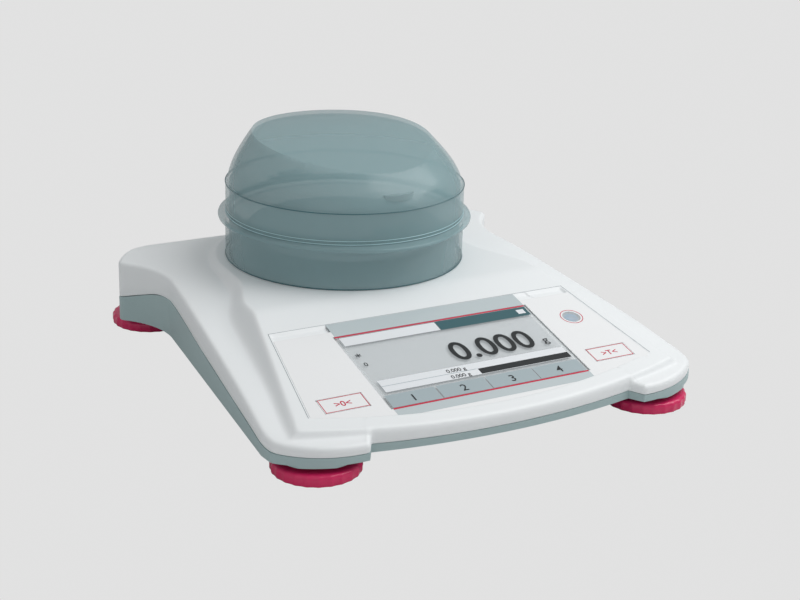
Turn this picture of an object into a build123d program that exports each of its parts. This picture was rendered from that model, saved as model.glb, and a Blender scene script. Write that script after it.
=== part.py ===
import os
from math import cos, pi, radians, sin, sqrt, tan

from build123d import *

os.makedirs("parts", exist_ok=True)

# Portable laboratory balance. Front is -Y, right is +X, the bench is Z = 0.
# Origin: on the bench, under the middle of the case. All lengths are in millimetres.

# The screen module and the keys beside it set the width of the console and of the case
SCREEN_WIDTH = 97.0
SCREEN_HEIGHT = 54.0
KEY_SPACE = 16.6
CONSOLE_MARGIN = 17.3
WING_WIDTH = 19.8

KEY_X = SCREEN_WIDTH / 2 + KEY_SPACE
CONSOLE_FRONT_HALF = KEY_X + CONSOLE_MARGIN
CASE_HALF_WIDTH = CONSOLE_FRONT_HALF + WING_WIDTH

# Outline of the case, seen from above
CASE_FRONT_Y = -110.4
CASE_REAR_Y = 111.6
FRONT_ARC_HALF = CASE_HALF_WIDTH - 39.9
FRONT_ARC_SAG = 6.4
PAD_INNER_X = FRONT_ARC_HALF + 3.7
PAD_FRONT_Y = CASE_FRONT_Y + 0.2
PAD_MID = (CASE_HALF_WIDTH - 15.7, CASE_FRONT_Y + 4.0)
PAD_CORNER = (CASE_HALF_WIDTH - 0.6, CASE_FRONT_Y + 14.8)
PAD_CORNER_RADIUS = 5.0
CASE_WIDEST_Y = CASE_FRONT_Y + 22.4
WAIST_HALF_WIDTH = CASE_HALF_WIDTH - 14.7
WAIST_Y = CASE_REAR_Y - 66.6
FLARE_MID = (CASE_HALF_WIDTH - 11.8, CASE_REAR_Y - 49.1)
TAIL_CORNER = (CASE_HALF_WIDTH - 0.8, CASE_REAR_Y - 34.6)
TAIL_CORNER_RADIUS = 4.0
TAIL_MID = (CASE_HALF_WIDTH - 13.8, CASE_REAR_Y - 17.1)
REAR_ARC_HALF = CASE_HALF_WIDTH - 42.2
REAR_ARC_END_Y = CASE_REAR_Y - 4.8

# Heights and walls of the case
CASE_BOTTOM_Z = 9.0
DECK_FRONT_Z = 17.6
DECK_REAR_Z = 38.0
TAIL_ROLL_RADIUS = 40.0
TAIL_ROLL_START_Y = 88.0
PLATFORM_Z = 39.5
RIDGE_Y = -15.2
CONSOLE_TILT = 13.2
CONSOLE_DRAFT = 33.0
CONSOLE_REAR_HALF = CONSOLE_FRONT_HALF - 10.2
CONSOLE_SHOULDER_Y = -1.0
CONSOLE_SHOULDER_RADIUS = 9.0
WALL = 2.2
FLOOR = 2.2
SEAM_GAP = 0.2
CREST_FILLET = 2.0
RIM_FILLET = 1.8

# Feet
FOOT_X = CASE_HALF_WIDTH - 22.0
FOOT_FRONT_Y = CASE_FRONT_Y + 18.6
FOOT_REAR_Y = CASE_REAR_Y - 20.2
FOOT_PAD_Z = 8.0
FOOT_PAD_RADIUS = 17.0
WHEEL_RADIUS = 18.5
WHEEL_BOTTOM_Z = 0.9
WHEEL_TOP_Z = 5.8
WHEEL_HUB_RADIUS = 6.5
WHEEL_HUB_Z = 6.4
WHEEL_SCALLOPS = 24
SCALLOP_RADIUS = 5.0
SCALLOP_DEPTH = 0.45
SOLE_RADIUS = 13.0
SOLE_THICKNESS = 1.6
SOLE_PIN_RADIUS = 2.0
SOLE_PIN_LENGTH = 1.2
STUD_RADIUS = 3.0
STUD_BOTTOM_Z = 3.2
STUD_TOP_Z = 14.0
FOOT_BOSS_RADIUS = 6.6
FOOT_BOSS_TOP_Z = 14.8

# Running gap on radius of every shaft and pin, and the gap round parts that drop in
RUNNING_GAP = 0.06
FIT_GAP = 0.25

# Front panel: places are measured down the slope from the ridge
OVERLAY_TOP = 17.6
OVERLAY_TOP_HALF = KEY_X + 9.1
OVERLAY_SIDE_END = 77.0
OVERLAY_BOTTOM_HALF = KEY_X + 18.0
OVERLAY_BOTTOM = 90.6
OVERLAY_THICKNESS = 0.5
SCREEN_TOP = 27.3
TOUCH_THICKNESS = 2.2
LCD_SIZE = (SCREEN_WIDTH + 8.5, SCREEN_HEIGHT + 8.0)
LCD_THICKNESS = 3.2
BOARD_THICKNESS = 1.6
DISPLAY_BOARD_SIZE = (LCD_SIZE[0] + 18.5, 34.0)
DISPLAY_BOARD_TOP = 31.0
DISPLAY_BOARD_DEPTH = 7.4
BOARD_POST_RADIUS = 2.6
BOARD_POST_X = LCD_SIZE[0] / 2 + 5.2
BOARD_SCREW_RADIUS = 1.1
BOARD_SCREW_HEAD_RADIUS = 2.0
BOARD_SCREW_LENGTH = 3.6
KEY_CENTRE = SCREEN_TOP + SCREEN_HEIGHT - 9.6
KEY_SIZE = (20.0, 9.2)
KEY_THICKNESS = 0.5
KEY_POCKET = 1.1
KEY_PLUNGER_RADIUS = 1.5
KEY_TRAVEL = 0.4
SWITCH_SIZE = (6.0, 6.0)
SWITCH_HEIGHT = 1.6
KEY_BOARD_SIZE = (17.0, 12.0)
KEY_POST_RADIUS = 1.3
KEY_POST_SPREAD = 6.6
LEVEL_X = KEY_X - 0.9
LEVEL_CENTRE = 42.1
LEVEL_LENS_RADIUS = 4.1
LEVEL_BEZEL_RADIUS = 5.0
LEVEL_VIAL_RADIUS = 5.4
LEVEL_VIAL_HEIGHT = 4.8
LEVEL_VIAL_WALL = 0.9
LEVEL_LENS_THICKNESS = 0.6
LEVEL_BUBBLE_RADIUS = 1.5

# Weighing mechanism, all centred on the shield
SHIELD_Y = 43.0
PAN_RADIUS = 46.5
PAN_TOP_Z = 54.0
PAN_SHEET = 1.0
PAN_RIM_DROP = 4.0
BUMPER_RADIUS = 3.0
BUMPER_RING = PAN_RADIUS - 14.5
SUPPORT_RADIUS = PAN_RADIUS - 8.5
SUPPORT_THICKNESS = 1.8
SUPPORT_TOP_Z = 50.0
POST_RADIUS = 6.0
POST_HOLE_RADIUS = 8.5
COLLAR_HEIGHT = 2.5
COLLAR_WALL = 1.8
CELL_LENGTH = 80.0
CELL_WIDTH = 24.0
CELL_HEIGHT = 15.0
CELL_BOTTOM_Z = 16.0
CELL_HOLE_RADIUS = 5.0
CELL_FOOT_LENGTH = 18.0
BRACKET_THICKNESS = 2.5
BRACKET_GAP = 1.2
CELL_SCREW_RADIUS = 2.0
CELL_SCREW_HEAD_RADIUS = 3.6
CELL_SCREW_HEAD_HEIGHT = 2.0
CELL_SCREW_PITCH = 10.0

# Draft shield
RING_RADIUS = PAN_RADIUS + 9.9
RING_WALL = 1.8
FLANGE_RADIUS = RING_RADIUS + 3.4
PLATFORM_RADIUS = FLANGE_RADIUS + 2.0
FLANGE_BOTTOM_Z = 58.4
FLANGE_THICKNESS = 1.9
LIP_REACH = 2.8
LIP_RADIUS = 46.0
SPIGOT_HEIGHT = 3.2
SPIGOT_WALL = 1.4
SPIGOT_GAP = 0.4
TAB_HALF_WIDTH = 12.0
TAB_HEIGHT = 7.0
LID_RADIUS = RING_RADIUS - 0.2
LID_WALL = 1.8
LID_BOTTOM_Z = 60.36
LID_SKIRT_TOP_Z = 75.0
DOME_LEVELS = (0.0, 8.0, 16.0, 24.0, 31.0)
DOME_RADII = [LID_RADIUS - inward for inward in (0.9, 3.6, 9.2, 16.2, 23.7)]
DOME_SHIFTS = (0.0, 1.5, 4.2, 7.2, 9.8)
FACET_CROWN_RADIUS = 273.0
FACET_FRONT_Z = 84.6
FACET_MID_Z = 99.6
FACET_PEAK_Z = 100.4
FACET_REAR_Z = 96.2
THUMB_LIP_WIDTH = 15.0
THUMB_LIP_HEIGHT = 3.0
THUMB_LIP_REACH = 1.6
THUMB_LIP_Z = 80.5
HINGE_Y = SHIELD_Y + RING_RADIUS + 4.4
HINGE_Z = 61.8
HINGE_PIN_RADIUS = 1.2
KNUCKLE_RADIUS = 2.9
KNUCKLE_HALF = 6.0
LUG_LENGTH = 5.5
HINGE_SIDE_GAP = 0.3

# Batteries and their bay
CELL_AA_RADIUS = 7.1
CELL_AA_LENGTH = 49.2
CELL_AA_BUTTON_RADIUS = 2.7
CELL_AA_BUTTON = 1.2
CELL_END_GAP = 0.1
BATTERY_PITCH = 2 * CELL_AA_RADIUS + 0.6
BATTERY_Y = -23.0
BAY_HALF_LENGTH = CELL_AA_LENGTH + CELL_AA_BUTTON + 4.1
BAY_WALL = 1.6
CONTACT_THICKNESS = 0.5
CONTACT_WIDTH = 10.0
COVER_THICKNESS = 1.8
COVER_SLIDE = 6.0
COVER_GAP = 0.3
COVER_TAB = (1.2, 5.0, 0.8)
COVER_TAB_Y = (-14.0, -30.0)
FINGER_POCKET = (16.0, 7.0, 0.7)

# Underside fittings
LOCK_X = -28.0
LOCK_Y = 64.0
LOCK_RADIUS = 8.0
LOCK_THICKNESS = 3.0
LOCK_STEM_RADIUS = 2.0
LOCK_SLOT = (11.0, 2.2)
LOCK_ARM = (20.0, 6.0, 1.2)
RECESS_WALL = 2.4
HOOK_COVER_RADIUS = 9.0
HOOK_COVER_THICKNESS = 1.4
HOOK_PLATE = (2.4, 8.0)
HOOK_EYE_RADIUS = 1.6
CAL_SWITCH_X = WAIST_HALF_WIDTH - 41.5
CAL_SWITCH_Y = 40.0
CAL_SWITCH_SIZE = (9.0, 4.0)
CAL_SWITCH_TRAVEL = 3.0
CAL_SWITCH_FLANGE = (17.0, 8.0, 1.0)
CAL_SWITCH_BODY = (20.0, 9.0, 3.2)
SCREW_SPOTS = ((WAIST_HALF_WIDTH - 4.5, -46.0), (WAIST_HALF_WIDTH - 11.5, 62.0), (20.0, CASE_REAR_Y - 11.6))
SCREW_SPLIT_Z = 16.0
SCREW_RADIUS = 1.5
SCREW_HEAD_RADIUS = 2.8
SCREW_HEAD_HEIGHT = 2.0
SCREW_HEAD_Z = 12.5
SCREW_LENGTH = 9.0
SCREW_TUBE_RADIUS = 4.6

# Boards and sockets
MAIN_BOARD_SIZE = (46.0, 60.0)
MAIN_BOARD_X = WAIST_HALF_WIDTH - 41.5
MAIN_BOARD_Y = 62.0
MAIN_BOARD_Z = 16.0
MAIN_POST_RADIUS = 2.6
SOCKET_Z = 14.7
DC_SOCKET_X = 40.0
DC_SOCKET_SIZE = (9.0, 13.0, 6.8)
DC_WALL_HOLE_RADIUS = 3.2
DC_BORE_RADIUS = 2.75
DC_BORE_DEPTH = 9.0
DC_PIN_RADIUS = 1.0
USB_SOCKET_X = 56.0
USB_SOCKET_SIZE = (13.2, 14.0, 5.8)
USB_MOUTH = (12.0, 4.6)
USB_DEPTH = 11.0
USB_TONGUE = 1.9
SECURITY_SLOT = (7.2, 3.2)
SECURITY_SLOT_X = -45.0

REACH = 160.0

ARC_END_Y = CASE_FRONT_Y + FRONT_ARC_SAG
FRONT_ARC_RADIUS = (FRONT_ARC_HALF**2 + FRONT_ARC_SAG**2) / (2 * FRONT_ARC_SAG)

CONSOLE = Plane(
    origin=(0, RIDGE_Y, PLATFORM_Z),
    x_dir=(1, 0, 0),
    z_dir=(0, -sin(radians(CONSOLE_TILT)), cos(radians(CONSOLE_TILT))),
)


# Housing forms

def case_outline(inset):
    """Plan outline of the case, drawn in by inset."""
    with BuildSketch(Plane.XY) as outline:
        with BuildLine():
            ThreePointArc((-FRONT_ARC_HALF, ARC_END_Y), (0, CASE_FRONT_Y), (FRONT_ARC_HALF, ARC_END_Y))
            with BuildLine(mode=Mode.PRIVATE) as right_side:
                Line((FRONT_ARC_HALF, ARC_END_Y), (PAD_INNER_X, PAD_FRONT_Y))
                ThreePointArc((PAD_INNER_X, PAD_FRONT_Y), PAD_MID, PAD_CORNER)
                Line(PAD_CORNER, (CASE_HALF_WIDTH, CASE_WIDEST_Y))
                Line((CASE_HALF_WIDTH, CASE_WIDEST_Y), (WAIST_HALF_WIDTH, WAIST_Y))
                ThreePointArc((WAIST_HALF_WIDTH, WAIST_Y), FLARE_MID, TAIL_CORNER)
                ThreePointArc(TAIL_CORNER, TAIL_MID, (REAR_ARC_HALF, REAR_ARC_END_Y))
            add(right_side.line)
            add(right_side.line.mirror(Plane.YZ))
            ThreePointArc((REAR_ARC_HALF, REAR_ARC_END_Y), (0, CASE_REAR_Y), (-REAR_ARC_HALF, REAR_ARC_END_Y))
        make_face()
        pad_corners = [v for v in outline.vertices() if abs(v.Y - PAD_CORNER[1]) < 0.01]
        fillet(pad_corners, PAD_CORNER_RADIUS)
        tail_corners = [v for v in outline.vertices() if abs(v.Y - TAIL_CORNER[1]) < 0.01]
        fillet(tail_corners, TAIL_CORNER_RADIUS)
        if inset > 0:
            offset(amount=-inset, kind=Kind.ARC)
    return outline.sketch


def deck_block(inset):
    """Low wings of the case, which rise towards the back and roll off at the tail."""
    tail_y = CASE_REAR_Y + 8
    tail_drop = TAIL_ROLL_RADIUS - sqrt(TAIL_ROLL_RADIUS**2 - (tail_y - TAIL_ROLL_START_Y) ** 2)
    with BuildPart() as block:
        with BuildSketch(Plane.YZ):
            with BuildLine():
                rise = Spline(
                    (CASE_FRONT_Y - 8, DECK_FRONT_Z - 2.2 - inset),
                    (CASE_FRONT_Y + 15, DECK_FRONT_Z - inset),
                    (-60, DECK_FRONT_Z + 6.4 - inset),
                    (-15, DECK_REAR_Z - 7.8 - inset),
                    (35, DECK_REAR_Z - 1.9 - inset),
                    (TAIL_ROLL_START_Y, DECK_REAR_Z - inset),
                    tangents=[(1, 0.08), (1, 0)],
                )
                roll = RadiusArc(rise @ 1, (tail_y, DECK_REAR_Z - tail_drop - inset), TAIL_ROLL_RADIUS)
                Polyline(roll @ 1, (tail_y, 0), ((rise @ 0).X, 0), rise @ 0)
            make_face()
        extrude(amount=REACH, both=True)
        with BuildSketch(Plane.XY):
            add(case_outline(inset))
        extrude(amount=REACH, mode=Mode.INTERSECT)
        if inset == 0:
            rim = ShapeList()
            for top in block.faces().filter_by(lambda face: face.normal_at(face.center()).Z > 0.8):
                rim.extend(top.edges())
            fillet(rim, RIM_FILLET)
    return block.part


def console_block(inset):
    """Raised middle: the sloping console, its shoulders and the round platform."""
    spread = PLATFORM_Z * tan(radians(CONSOLE_DRAFT)) - inset
    drop = (RIDGE_Y - CASE_FRONT_Y + 20) * tan(radians(CONSOLE_TILT))
    with BuildPart() as block:
        with BuildSketch(Plane.XY) as plan:
            with BuildLine():
                Polyline(
                    (-CONSOLE_FRONT_HALF, CASE_FRONT_Y - 40),
                    (CONSOLE_FRONT_HALF, CASE_FRONT_Y - 40),
                    (CONSOLE_REAR_HALF, CONSOLE_SHOULDER_Y),
                    (PLATFORM_RADIUS - 4, SHIELD_Y - 8),
                    (4 - PLATFORM_RADIUS, SHIELD_Y - 8),
                    (-CONSOLE_REAR_HALF, CONSOLE_SHOULDER_Y),
                    close=True,
                )
            make_face()
            shoulders = [v for v in plan.vertices() if abs(v.Y - CONSOLE_SHOULDER_Y) < 0.01]
            fillet(shoulders, CONSOLE_SHOULDER_RADIUS)
            offset(amount=spread)
        extrude(amount=PLATFORM_Z + 10, taper=CONSOLE_DRAFT)
        with BuildSketch(Plane.XY):
            with Locations((0, SHIELD_Y)):
                Circle(PLATFORM_RADIUS + spread)
        extrude(amount=PLATFORM_Z + 10, taper=CONSOLE_DRAFT)
        with BuildSketch(Plane.YZ):
            with BuildLine():
                Polyline(
                    (CASE_FRONT_Y - 20, 0),
                    (CASE_FRONT_Y - 20, PLATFORM_Z - drop - inset),
                    (RIDGE_Y, PLATFORM_Z - inset),
                    (CASE_REAR_Y + 20, PLATFORM_Z - inset),
                    (CASE_REAR_Y + 20, 0),
                    close=True,
                )
            make_face()
        extrude(amount=REACH, both=True, mode=Mode.INTERSECT)
        with BuildSketch(Plane.XY):
            with Locations((0, CASE_FRONT_Y + FRONT_ARC_RADIUS)):
                Circle(FRONT_ARC_RADIUS - inset)
        extrude(amount=REACH, mode=Mode.INTERSECT)
        with BuildSketch(Plane.XY):
            add(case_outline(inset))
        extrude(amount=REACH, mode=Mode.INTERSECT)
        if inset == 0:
            crest = ShapeList()
            for top in block.faces().filter_by(lambda face: face.normal_at(face.center()).Z > 0.9):
                crest.extend(top.edges())
            fillet(crest, CREST_FILLET)
    return block.part


def case_envelope(inset):
    """Whole outer form of the case, or its hollow when inset is the wall."""
    with BuildPart() as block:
        add(deck_block(inset))
        add(console_block(inset))
    return block.part


def below_seam(shift):
    """Everything under the curved parting line of the case, moved up by shift."""
    with BuildPart() as block:
        with BuildSketch(Plane.YZ):
            with BuildLine():
                seam = Spline(
                    (CASE_FRONT_Y - 12, 11.6 + shift),
                    (-92, 13.4 + shift),
                    (-50, 17.2 + shift),
                    (0, 21.9 + shift),
                    (40, 26.2 + shift),
                    (60, 25.3 + shift),
                    (78, 20.2 + shift),
                    (92, 18.9 + shift),
                    (CASE_REAR_Y + 12, 18.4 + shift),
                )
                Polyline(seam @ 1, (CASE_REAR_Y + 12, -5), (CASE_FRONT_Y - 12, -5), seam @ 0)
            make_face()
        extrude(amount=REACH, both=True)
    return block.part


def column(x, y, radius, bottom, top):
    """Upright round bar."""
    with BuildPart() as bar:
        with BuildSketch(Plane.XY.offset(bottom)):
            with Locations((x, y)):
                Circle(radius)
        extrude(amount=top - bottom)
    return bar.part


def block_between(x_range, y_range, z_range):
    """Upright rectangular block between three pairs of limits."""
    with BuildPart() as bar:
        with BuildSketch(Plane.XY.offset(z_range[0])):
            with Locations(((x_range[0] + x_range[1]) / 2, (y_range[0] + y_range[1]) / 2)):
                Rectangle(x_range[1] - x_range[0], y_range[1] - y_range[0])
        extrude(amount=z_range[1] - z_range[0])
    return bar.part


FOOT_SPOTS = {
    "front_left": (-FOOT_X, FOOT_FRONT_Y),
    "front_right": (FOOT_X, FOOT_FRONT_Y),
    "rear_left": (-FOOT_X, FOOT_REAR_Y),
    "rear_right": (FOOT_X, FOOT_REAR_Y),
}
SCREW_PLACES = [(side * x, y) for x, y in SCREW_SPOTS for side in (-1, 1)]

BAY_HALF_WIDTH = BATTERY_PITCH / 2 + CELL_AA_RADIUS + 0.4
BATTERY_Z = CASE_BOTTOM_Z + COVER_THICKNESS + 0.3 + CELL_AA_RADIUS
BAY_TOP_Z = BATTERY_Z + CELL_AA_RADIUS + 0.3
CELL_REAR_Y = SHIELD_Y + CELL_LENGTH / 2
CELL_FRONT_Y = SHIELD_Y - CELL_LENGTH / 2
CELL_TOP_Z = CELL_BOTTOM_Z + CELL_HEIGHT
PEDESTAL_SCREW_Y = CELL_FRONT_Y + CELL_FOOT_LENGTH / 2
BRACKET_SCREW_Y = CELL_REAR_Y - CELL_FOOT_LENGTH / 2
BRACKET_TOP_Z = CELL_TOP_Z + BRACKET_GAP + BRACKET_THICKNESS
SCREEN_BOTTOM = SCREEN_TOP + SCREEN_HEIGHT
SCREEN_CENTRE = SCREEN_TOP + SCREEN_HEIGHT / 2
OUTER_FORM = case_envelope(0)
HOLLOW_FORM = case_envelope(WALL)
BOSS_FORM = case_envelope(WALL / 2)


def overlay_outline(shrink):
    """Printed film outline on the console slope: straight sides and a bowed lower edge."""
    with BuildSketch(CONSOLE) as film:
        with BuildLine():
            Polyline(
                (-OVERLAY_BOTTOM_HALF, -OVERLAY_SIDE_END),
                (-OVERLAY_TOP_HALF, -OVERLAY_TOP),
                (OVERLAY_TOP_HALF, -OVERLAY_TOP),
                (OVERLAY_BOTTOM_HALF, -OVERLAY_SIDE_END),
            )
            ThreePointArc(
                (OVERLAY_BOTTOM_HALF, -OVERLAY_SIDE_END),
                (0, -OVERLAY_BOTTOM),
                (-OVERLAY_BOTTOM_HALF, -OVERLAY_SIDE_END),
            )
        make_face()
        if shrink > 0:
            offset(amount=-shrink)
    return film.sketch


def key_places():
    """Middle of each key on the console plane."""
    return ((-KEY_X, -KEY_CENTRE), (KEY_X, -KEY_CENTRE))


def board_post_places():
    """Posts that carry the display board, on the console plane."""
    inner = BOARD_POST_RADIUS + 1.5
    rows = (-DISPLAY_BOARD_TOP - inner, -DISPLAY_BOARD_TOP - DISPLAY_BOARD_SIZE[1] + inner)
    return [(side * BOARD_POST_X, row) for side in (-1, 1) for row in rows]


def console_prism(size, centre, top_depth, thickness, radius=0.0):
    """Rectangular plate parallel to the console, from top_depth down by thickness."""
    with BuildPart() as plate:
        with BuildSketch(CONSOLE.offset(-top_depth)):
            with Locations(centre):
                if radius > 0:
                    RectangleRounded(size[0], size[1], radius)
                else:
                    Rectangle(size[0], size[1])
        extrude(amount=-thickness)
    return plate.part


def console_column(centre, radius, top_depth, thickness):
    """Round bar square to the console, from top_depth down by thickness."""
    with BuildPart() as bar:
        with BuildSketch(CONSOLE.offset(-top_depth)):
            with Locations(centre):
                Circle(radius)
        extrude(amount=-thickness)
    return bar.part


def main_post_places():
    """Posts under the corners of the main board."""
    half_x = MAIN_BOARD_SIZE[0] / 2 - MAIN_POST_RADIUS - 0.8
    half_y = MAIN_BOARD_SIZE[1] / 2 - MAIN_POST_RADIUS - 0.8
    return [(MAIN_BOARD_X + i * half_x, MAIN_BOARD_Y + j * half_y) for i in (-1, 1) for j in (-1, 1)]


def rear_wall_y(x):
    """Outer face of the rear wall at a sideways place on its middle arc."""
    sag = CASE_REAR_Y - REAR_ARC_END_Y
    radius = (REAR_ARC_HALF**2 + sag**2) / (2 * sag)
    return CASE_REAR_Y - radius + sqrt(radius**2 - x**2)


# Upper case half

SWITCH_TOP_DEPTH = WALL + 0.3 + KEY_TRAVEL + 0.1
KEY_BOARD_DEPTH = SWITCH_TOP_DEPTH + SWITCH_HEIGHT
INNER_DEPTH = WALL / 2
SCREEN_PLACE = (0, -SCREEN_CENTRE)
LEVEL_PLACE = (LEVEL_X, -LEVEL_CENTRE)
SCREW_TOP_Z = SCREW_HEAD_Z + SCREW_LENGTH

with BuildPart() as upper_housing:
    add(OUTER_FORM)
    add(HOLLOW_FORM, mode=Mode.SUBTRACT)
    add(below_seam(SEAM_GAP / 2), mode=Mode.SUBTRACT)
    # Spill collar round the pan post
    with BuildSketch(Plane.XY.offset(PLATFORM_Z - WALL / 2)):
        with Locations((0, SHIELD_Y)):
            Circle(POST_HOLE_RADIUS + COLLAR_WALL)
    extrude(amount=COLLAR_HEIGHT + WALL / 2)
    # Bosses for the case screws, and posts for the boards
    for spot in SCREW_PLACES:
        add(column(*spot, SCREW_TUBE_RADIUS - 0.6, SCREW_SPLIT_Z + SEAM_GAP, PLATFORM_Z) & BOSS_FORM)
    for place in board_post_places():
        add(console_column(place, BOARD_POST_RADIUS, INNER_DEPTH, DISPLAY_BOARD_DEPTH - INNER_DEPTH))
    for x, y in key_places():
        for side in (-1, 1):
            post = (x + side * KEY_POST_SPREAD, y)
            add(console_column(post, KEY_POST_RADIUS, INNER_DEPTH, KEY_BOARD_DEPTH - INNER_DEPTH))
    # Seat of the printed film, and the openings under it
    with BuildSketch(CONSOLE):
        add(overlay_outline(0))
    extrude(amount=-OVERLAY_THICKNESS, mode=Mode.SUBTRACT)
    screen_hole = (SCREEN_WIDTH + 2 * FIT_GAP, SCREEN_HEIGHT + 2 * FIT_GAP)
    add(console_prism(screen_hole, SCREEN_PLACE, 0, WALL + 1), mode=Mode.SUBTRACT)
    for place in key_places():
        pocket = (KEY_SIZE[0] + 2 * FIT_GAP, KEY_SIZE[1] + 2 * FIT_GAP)
        add(console_prism(pocket, place, 0, KEY_POCKET), mode=Mode.SUBTRACT)
        add(console_column(place, KEY_PLUNGER_RADIUS + RUNNING_GAP, 0, WALL + 1), mode=Mode.SUBTRACT)
    add(console_column(LEVEL_PLACE, LEVEL_LENS_RADIUS + RUNNING_GAP, 0, WALL + 1), mode=Mode.SUBTRACT)
    # Holes for the screws and the pan post
    for place in board_post_places():
        hole_top = DISPLAY_BOARD_DEPTH - BOARD_SCREW_LENGTH + BOARD_THICKNESS
        add(console_column(place, BOARD_SCREW_RADIUS, hole_top, BOARD_SCREW_LENGTH), mode=Mode.SUBTRACT)
    for spot in SCREW_PLACES:
        add(column(*spot, SCREW_RADIUS, SCREW_SPLIT_Z - 1, SCREW_TOP_Z), mode=Mode.SUBTRACT)
    add(column(0, SHIELD_Y, POST_HOLE_RADIUS, CELL_TOP_Z, PLATFORM_Z + COLLAR_HEIGHT + 1), mode=Mode.SUBTRACT)
upper_housing.part.label = "upper_housing"
export_step(upper_housing.part, "parts/upper_housing.step")


# Lower case half

FLOOR_TOP_Z = CASE_BOTTOM_Z + FLOOR
COVER_SIZE = (2 * BAY_HALF_LENGTH + 4.0, 2 * BAY_HALF_WIDTH + 4.0)
COVER_CEILING_Z = CASE_BOTTOM_Z + COVER_THICKNESS + 0.2
HOOK_RECESS_Z = CASE_BOTTOM_Z + HOOK_COVER_THICKNESS + 0.1
LOCK_TOP_Z = CASE_BOTTOM_Z + LOCK_THICKNESS + 0.3
CAL_SLOT = (CAL_SWITCH_SIZE[0] + CAL_SWITCH_TRAVEL + 2 * COVER_GAP, CAL_SWITCH_SIZE[1] + 2 * COVER_GAP)

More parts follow.
